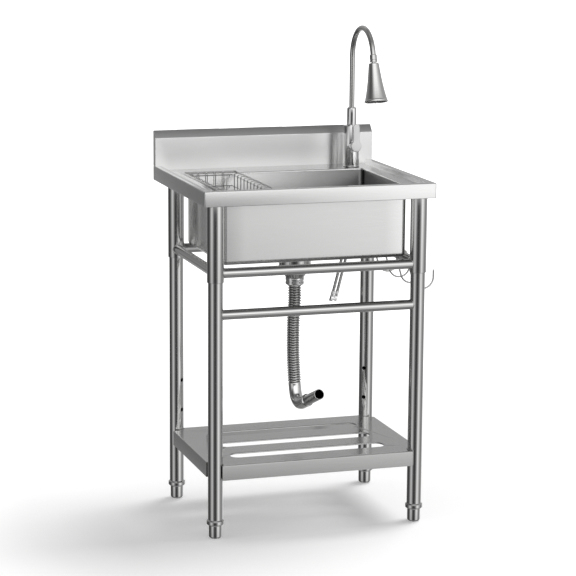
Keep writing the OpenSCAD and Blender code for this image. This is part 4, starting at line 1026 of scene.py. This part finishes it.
def make_spray():
    """A turned shell that flares out as (26 + 35 (0.68 t + 0.32 t^3)) / 2 over its length, and the dark
    face in it with rings of small turned nozzles, as many in a ring as its radius has millimetres."""
    _, end, way = spout_line()
    top, long, plate_z, plate_top = end + 22.5 * way, 100, 94, 98
    t = np.linspace(0.03, 1, 40)
    flare = np.column_stack([(26 + 35 * (0.68 * t + 0.32 * t**3)) / 2, long * t])
    flare = flare[flare[:, 1] < 95.5]
    neck = rounded([
        (0, 0, 0), (6.9, 0, 0), (6.9, 0.9, 0), (8, 0, 0.3), (12.2, 0, 0.9), (13.3, 2, 0),
    ], 4, closed=False)
    brim = rounded([
        (29.6, 95.8, 0), (30.5, 96.6, 0.4), (30.5, long, 0.9), (28.4, long, 0.5), (28.4, plate_z, 0),
        (0, plate_z, 0),
    ], 4, closed=False)
    shell = turned(np.concatenate([neck, flare, brim]), top, way, sides=128)
    piece("spray_shell", shell, "spray", SPRAY_STEEL, ["spray_head"])
    u = np.array([1.0, 0, 0])
    v = np.cross(way, u)
    spots = [top + r * (c * u + s * v) for r in (6, 12, 18, 24) for c, s in circle(r)]
    nozzle = [(0, 97.8), (1.5, 97.8), (1.0, 99.2), (0.45, 99.3), (0.4, 98.9), (0, 98.9)]
    plate = turned(disc(28.15, plate_z, plate_top, 0, 0.7), top, way, sides=96)
    face = together(plate, *[turned(nozzle, spot, way, sides=8) for spot in spots])
    piece("spray_nozzle_plate", face, "spray", DARK_PLASTIC, ["spray_face"])


def make_lever():
    """A turned hub, a turned cap and a paddle of half width and half thickness w and d, whose section
    is (w cos a ^ 0.45, d sin a ^ 0.45), signs kept. Both are rounded off at the tip, and the waist is
    drawn in."""
    long, half_w, half_d, square, waist, waist_share = 59.0, 9.5, 2.5, 0.45, 0.06, 0.84
    rows, sides, paddle_y = 40, 48, 162.5
    hub = turned(disc(HUB_R, 0, 6.4, 1, 1), (TAP_X, HUB_Y, HUB_Z), (0, -1, 0), sides=96)
    piece("lever_hub_turned", hub, "lever_hub", CHROME, ["tap_lever_hub"])
    cap = turned(disc(HUB_R, 0, 7, 0.8, 2.2, 6), (TAP_X, LEVER_Y, HUB_Z), (0, -1, 0), sides=96)
    s = np.linspace(0, 1, rows)

    def rounded_off(half):
        """A half size along the paddle, which ends in a quarter of a circle of that radius."""
        return half * np.sqrt(np.clip(1 - np.clip((long * s - long + half) / half, 0, 1) ** 2, 0, 1))

    wide = rounded_off(half_w) * (1 - waist * np.sin(np.pi * np.clip(s, 0, waist_share) / waist_share))
    across, deep = (np.sign(c) * np.abs(c) ** square for c in circle(sides).T)
    x = TAP_X + wide[:, None] * across
    y = paddle_y + rounded_off(half_d)[:, None] * deep
    z = np.broadcast_to((HUB_Z + long * s)[:, None], (rows, sides))
    surface = together(cap, skin(np.stack([x, y, z], 2), around=True, caps=True))
    piece("lever_paddle", surface, "lever", LEVER_CHROME, ["tap_lever"], sharp=50)


# Wire goods

def make_hook(number, y):
    """A wire: an arc round the rail, a straight shank that touches both arcs, a wider arc below, and a
    short straight end. Its two ends are half balls."""
    rod, big, small, dx, dz, tall = 2.25, 28.0, 15.05, 26.0, 43.0, 20.0
    lean = np.arctan2(dx, dz) - np.arcsin((big - small) / np.hypot(dx, dz))
    upper = np.linspace(np.radians(-40), np.pi + lean, 40)
    lower = np.linspace(np.pi + lean, TURN, 40)
    top = small * np.column_stack([np.cos(upper), np.sin(upper)])
    low = np.array([dx, -dz]) + big * np.column_stack([np.cos(lower), np.sin(lower)])
    shank = top[-1] + (low[0] - top[-1]) * np.linspace(0, 1, 8)[1:-1, None]
    tip = low[-1] + np.linspace(0, tall - rod, 6)[1:, None] * np.array([0, 1.0])
    flat = np.concatenate([top, shank, low, tip])
    line = np.column_stack([LEG_X + flat[:, 0], np.full(len(flat), y), RAIL_Z + flat[:, 1]])
    b = np.linspace(0, np.pi / 2, 6)[1:]
    first, last = unit(line[0] - line[1]), unit(line[-1] - line[-2])
    ball_top = line[:1] + rod * np.sin(b[::-1])[:, None] * first
    ball_tip = line[-1] + rod * np.sin(b)[:, None] * last
    radius = np.concatenate([rod * np.cos(b[::-1]), np.full(len(line), rod), rod * np.cos(b)]) + 1e-4
    wire = tube(np.concatenate([ball_top, line, ball_tip]), radius, (0, 1, 0), 20)
    piece(f"rail_hook_{number}", wire, f"hook_{number}", WIRE, [f"hook_{number}"], sharp=60)


def make_basket():
    """Round wires: a thick rim, three hoops, and wires that each leave the rim, bend down the wall, run
    under the floor and come back up."""
    x0, x1, y0, y1, rim_z, tall = -250.0, -104.0, BOWL_FRONT - 10, BOWL_REAR + 10, 868.3, 92
    rod, rim_r, gap, bend, floor_bend, hoop_step = 1.2, 2.0, 16, 5, 7, 28
    wall, low, wire_z = gap + rod, rim_z - tall + rod, rim_z + 0.4
    half_x, half_y, middle = (x1 - x0) / 2, (y1 - y0) / 2, ((x0 + x1) / 2, (y0 + y1) / 2)

    def hoop(inset, corner, steps, z, radius, sides):
        """A level ring of wire, set in from the basket's outline."""
        outline = round_rectangle(half_x - inset, half_y - inset, corner, middle, steps)[0]
        line = np.column_stack([outline, np.full(len(outline), z)])
        return tube(line, radius, (0, 0, 1), sides, closed=True)

    def bent(start, end, axis, other, floor_z):
        """A wire along an axis, 0 or 1, at a place on the other one."""
        run = rounded([
            (start, wire_z, 0), (start + wall, wire_z, bend), (start + wall, floor_z, floor_bend),
            (end - wall, floor_z, floor_bend), (end - wall, wire_z, bend), (end, wire_z, 0),
        ], 5, closed=False)
        line = np.zeros((len(run), 3))
        line[:, axis], line[:, 1 - axis], line[:, 2] = run[:, 0], other, run[:, 1]
        return tube(line, rod, np.eye(3)[1 - axis], 10)

    rims = [hoop(rim_r, 9, 8, rim_z, rim_r, 16)]
    rims += [hoop(wall, 8, 6, z, rod, 10) for z in (low + hoop_step, low + 2 * hoop_step, rim_z - 6)]
    x_step, y_step = (x1 - x0 - 2 * wall) / 5, (y1 - y0 - 2 * wall) / 11
    across = [bent(x0 + rim_r, x1 - rim_r, 0, y0 + wall + i * y_step, low) for i in range(1, 11)]
    down = [bent(y0 + rim_r, y1 - rim_r, 1, x0 + wall + i * x_step, low + 2 * rod) for i in range(1, 5)]
    wires = together(*rims, *across, *down)
    piece("basket_wires", wires, "basket", WIRE, ["wire_basket"], sharp=60)


make_deck()
make_bowl()
make_backsplash()
make_knife_holders()
make_shelf()
for corner_name in CORNERS:
    make_corner(corner_name)
make_rails()
make_welds()
make_drain()
make_tap_body()
make_spout()
make_spray()
make_lever()
for hook_number, hook_y in enumerate((-157.0, -72.0, 13.0, 98.0), 1):
    make_hook(hook_number, hook_y)
make_basket()


# Room

def make_world():
    """White wherever the camera, glass or the metal looks, and a plain soft light for everything
    else."""
    world = bpy.data.worlds.new("studio")
    bpy.context.scene.world = world
    world.use_nodes = True
    tree = world.node_tree
    background = tree.nodes["Background"].inputs
    background["Color"].default_value = (1, 1, 1, 1)
    path = node(tree, "LightPath").outputs
    seen = math_node(tree, "MAXIMUM", path["Is Camera Ray"], path["Is Glossy Ray"])
    seen = math_node(tree, "MAXIMUM", seen, path["Is Transmission Ray"])
    mix = node(tree, "Mix")
    feed(tree, mix.inputs["Factor"], seen)
    mix.inputs[2].default_value = 0.45
    mix.inputs[3].default_value = 1.0
    feed(tree, background["Strength"], mix.outputs[0])


def make_floor():
    """A white floor that takes the sink's shadow. It has a glow that only the camera and glass see,
    weak by the sink and stronger further out, so that the floor runs out into plain white. Distances
    are in metres."""
    near, far, weak, strong = 0.7, 2.2, 0.25, 0.8
    points = np.array([[-30000, -8000, 0], [30000, -8000, 0], [30000, 60000, 0], [-30000, 60000, 0]], float)
    floor = mesh_object("floor", (points, [[0, 1, 2, 3]]))
    material, tree, shader = new_material("white_floor")
    shader["Base Color"].default_value = (0.86, 0.86, 0.86, 1)
    shader["Roughness"].default_value = 0.9
    shader["Specular IOR Level"].default_value = 0.0
    shader["Emission Color"].default_value = (1, 1, 1, 1)
    path = node(tree, "LightPath").outputs
    seen = math_node(tree, "MAXIMUM", path["Is Camera Ray"], path["Is Transmission Ray"])
    away = node(tree, "VectorMath", operation="LENGTH")
    feed(tree, away.inputs[0], node(tree, "TexCoord").outputs["Object"])
    spread = node(tree, "MapRange")
    for label, value in (("From Min", near), ("From Max", far), ("To Min", weak), ("To Max", strong)):
        spread.inputs[label].default_value = value
    feed(tree, spread.inputs["Value"], away.outputs["Value"])
    feed(tree, shader["Emission Strength"], math_node(tree, "MULTIPLY", seen, spread.outputs["Result"]))
    floor.data.materials.append(material)
    floor.visible_glossy = False


# Levels of light over degrees: the azimuth counts from the camera, and the height from level
LOW_SIDES = [
    (-180, 0.81), (-160, 0.405), (-145, 0.18), (-128, 0.072), (-101, 0.054), (-80, 0.135), (-60, 0.522),
    (-45, 0.675), (-29, 0.27), (-14, 0.072), (0, 0.045), (16, 0.117), (31, 0.45), (47, 1.035), (64, 0.765),
    (83, 0.405), (104, 0.207), (134, 0.477), (160, 0.72), (180, 0.81),
]
HIGH_LOBE = [
    (-180, 0.5), (-120, 0.2), (-75, 0.06), (-52, 0.12), (-32, 0.6), (-10, 1.2), (30, 1.2), (60, 0.7),
    (95, 0.35), (130, 0.35), (180, 0.5),
]
FRONT_BAND = [
    (-60, 0), (-48, 0.12), (-36, 0.5), (-23, 0.85), (-11, 1), (0, 1.15), (15, 1.05), (28, 0.95), (40, 0.8),
    (52, 0.4), (64, 0.03),
]
BACK_BAND = [(-60, 0), (-40, 0.5), (-26, 1), (45, 1), (62, 0)]
FLOOR_AND_CEILING = [
    (-76, 0.27), (-60, 0.2), (-48, 0.06), (-36, 0), (22, 0), (32, 0.02), (60, 0.14), (75, 0.3), (90, 0.4),
]


def level_of(degrees, levels):
    """Straight lines through pairs of degrees and level."""
    return np.interp(degrees, *zip(*levels))


def studio_level(high, azimuth):
    """The walls' light: a list over the azimuth, which changes from low down to high up, times a band
    over the height, which is another in front than behind, plus the floor and the ceiling."""
    from_camera = (azimuth + 17.7 + 180) % 360 - 180
    upward = np.clip((high + 2) / 8, 0, 1)
    around = level_of(from_camera, LOW_SIDES) * (1 - upward) + level_of(from_camera, HIGH_LOBE) * upward
    front = np.clip((np.cos(np.radians(from_camera - 20)) + 0.3) / 0.6, 0, 1)
    band = front * level_of(high, FRONT_BAND) + (1 - front) * level_of(high, BACK_BAND)
    return around * band + level_of(high, FLOOR_AND_CEILING)


def make_studio():
    """The room as the steel mirrors it: a wide sphere, a backdrop all round that only reflections
    see."""
    radius = 40000
    high = np.linspace(-90, 90, 91)[:, None]
    azimuth = (np.arange(180) * 2.0)[None]
    e, a = np.radians(high), np.radians(azimuth)
    out = np.stack([np.cos(e) * np.sin(a), -np.cos(e) * np.cos(a), np.sin(e) + 0 * a], 2)
    walls = mesh_object("studio_walls", skin(radius * out, around=True))
    level = studio_level(high, azimuth).ravel().astype(np.float32)
    walls.data.attributes.new("level", "FLOAT", "POINT").data.foreach_set("value", level)
    material = bpy.data.materials.new("studio_light")
    material.use_nodes = True
    tree = material.node_tree
    tree.nodes.clear()
    glow, surface = node(tree, "Emission"), node(tree, "OutputMaterial")
    feed(tree, glow.inputs["Strength"], node(tree, "Attribute", attribute_name="level").outputs["Fac"])
    feed(tree, surface.inputs["Surface"], glow.outputs[0])
    material.cycles.emission_sampling = "NONE"
    walls.data.materials.append(material)
    walls.visible_camera = walls.visible_diffuse = walls.visible_shadow = walls.visible_transmission = False


def make_sun():
    """One wide soft lamp, high on the right and a little behind."""
    light = bpy.data.lights.new("soft_key", "SUN")
    light.energy, light.angle = 1.75, np.radians(32)
    sun = placed("soft_key", light)
    sun.rotation_euler = Vector((0.52, 0.22, 1.0)).to_track_quat("Z", "Y").to_euler()
    sun.visible_glossy = False


make_world()
make_floor()
make_studio()
make_sun()

bpy.context.scene.view_settings.view_transform = "Standard"
bpy.context.view_layer.update()
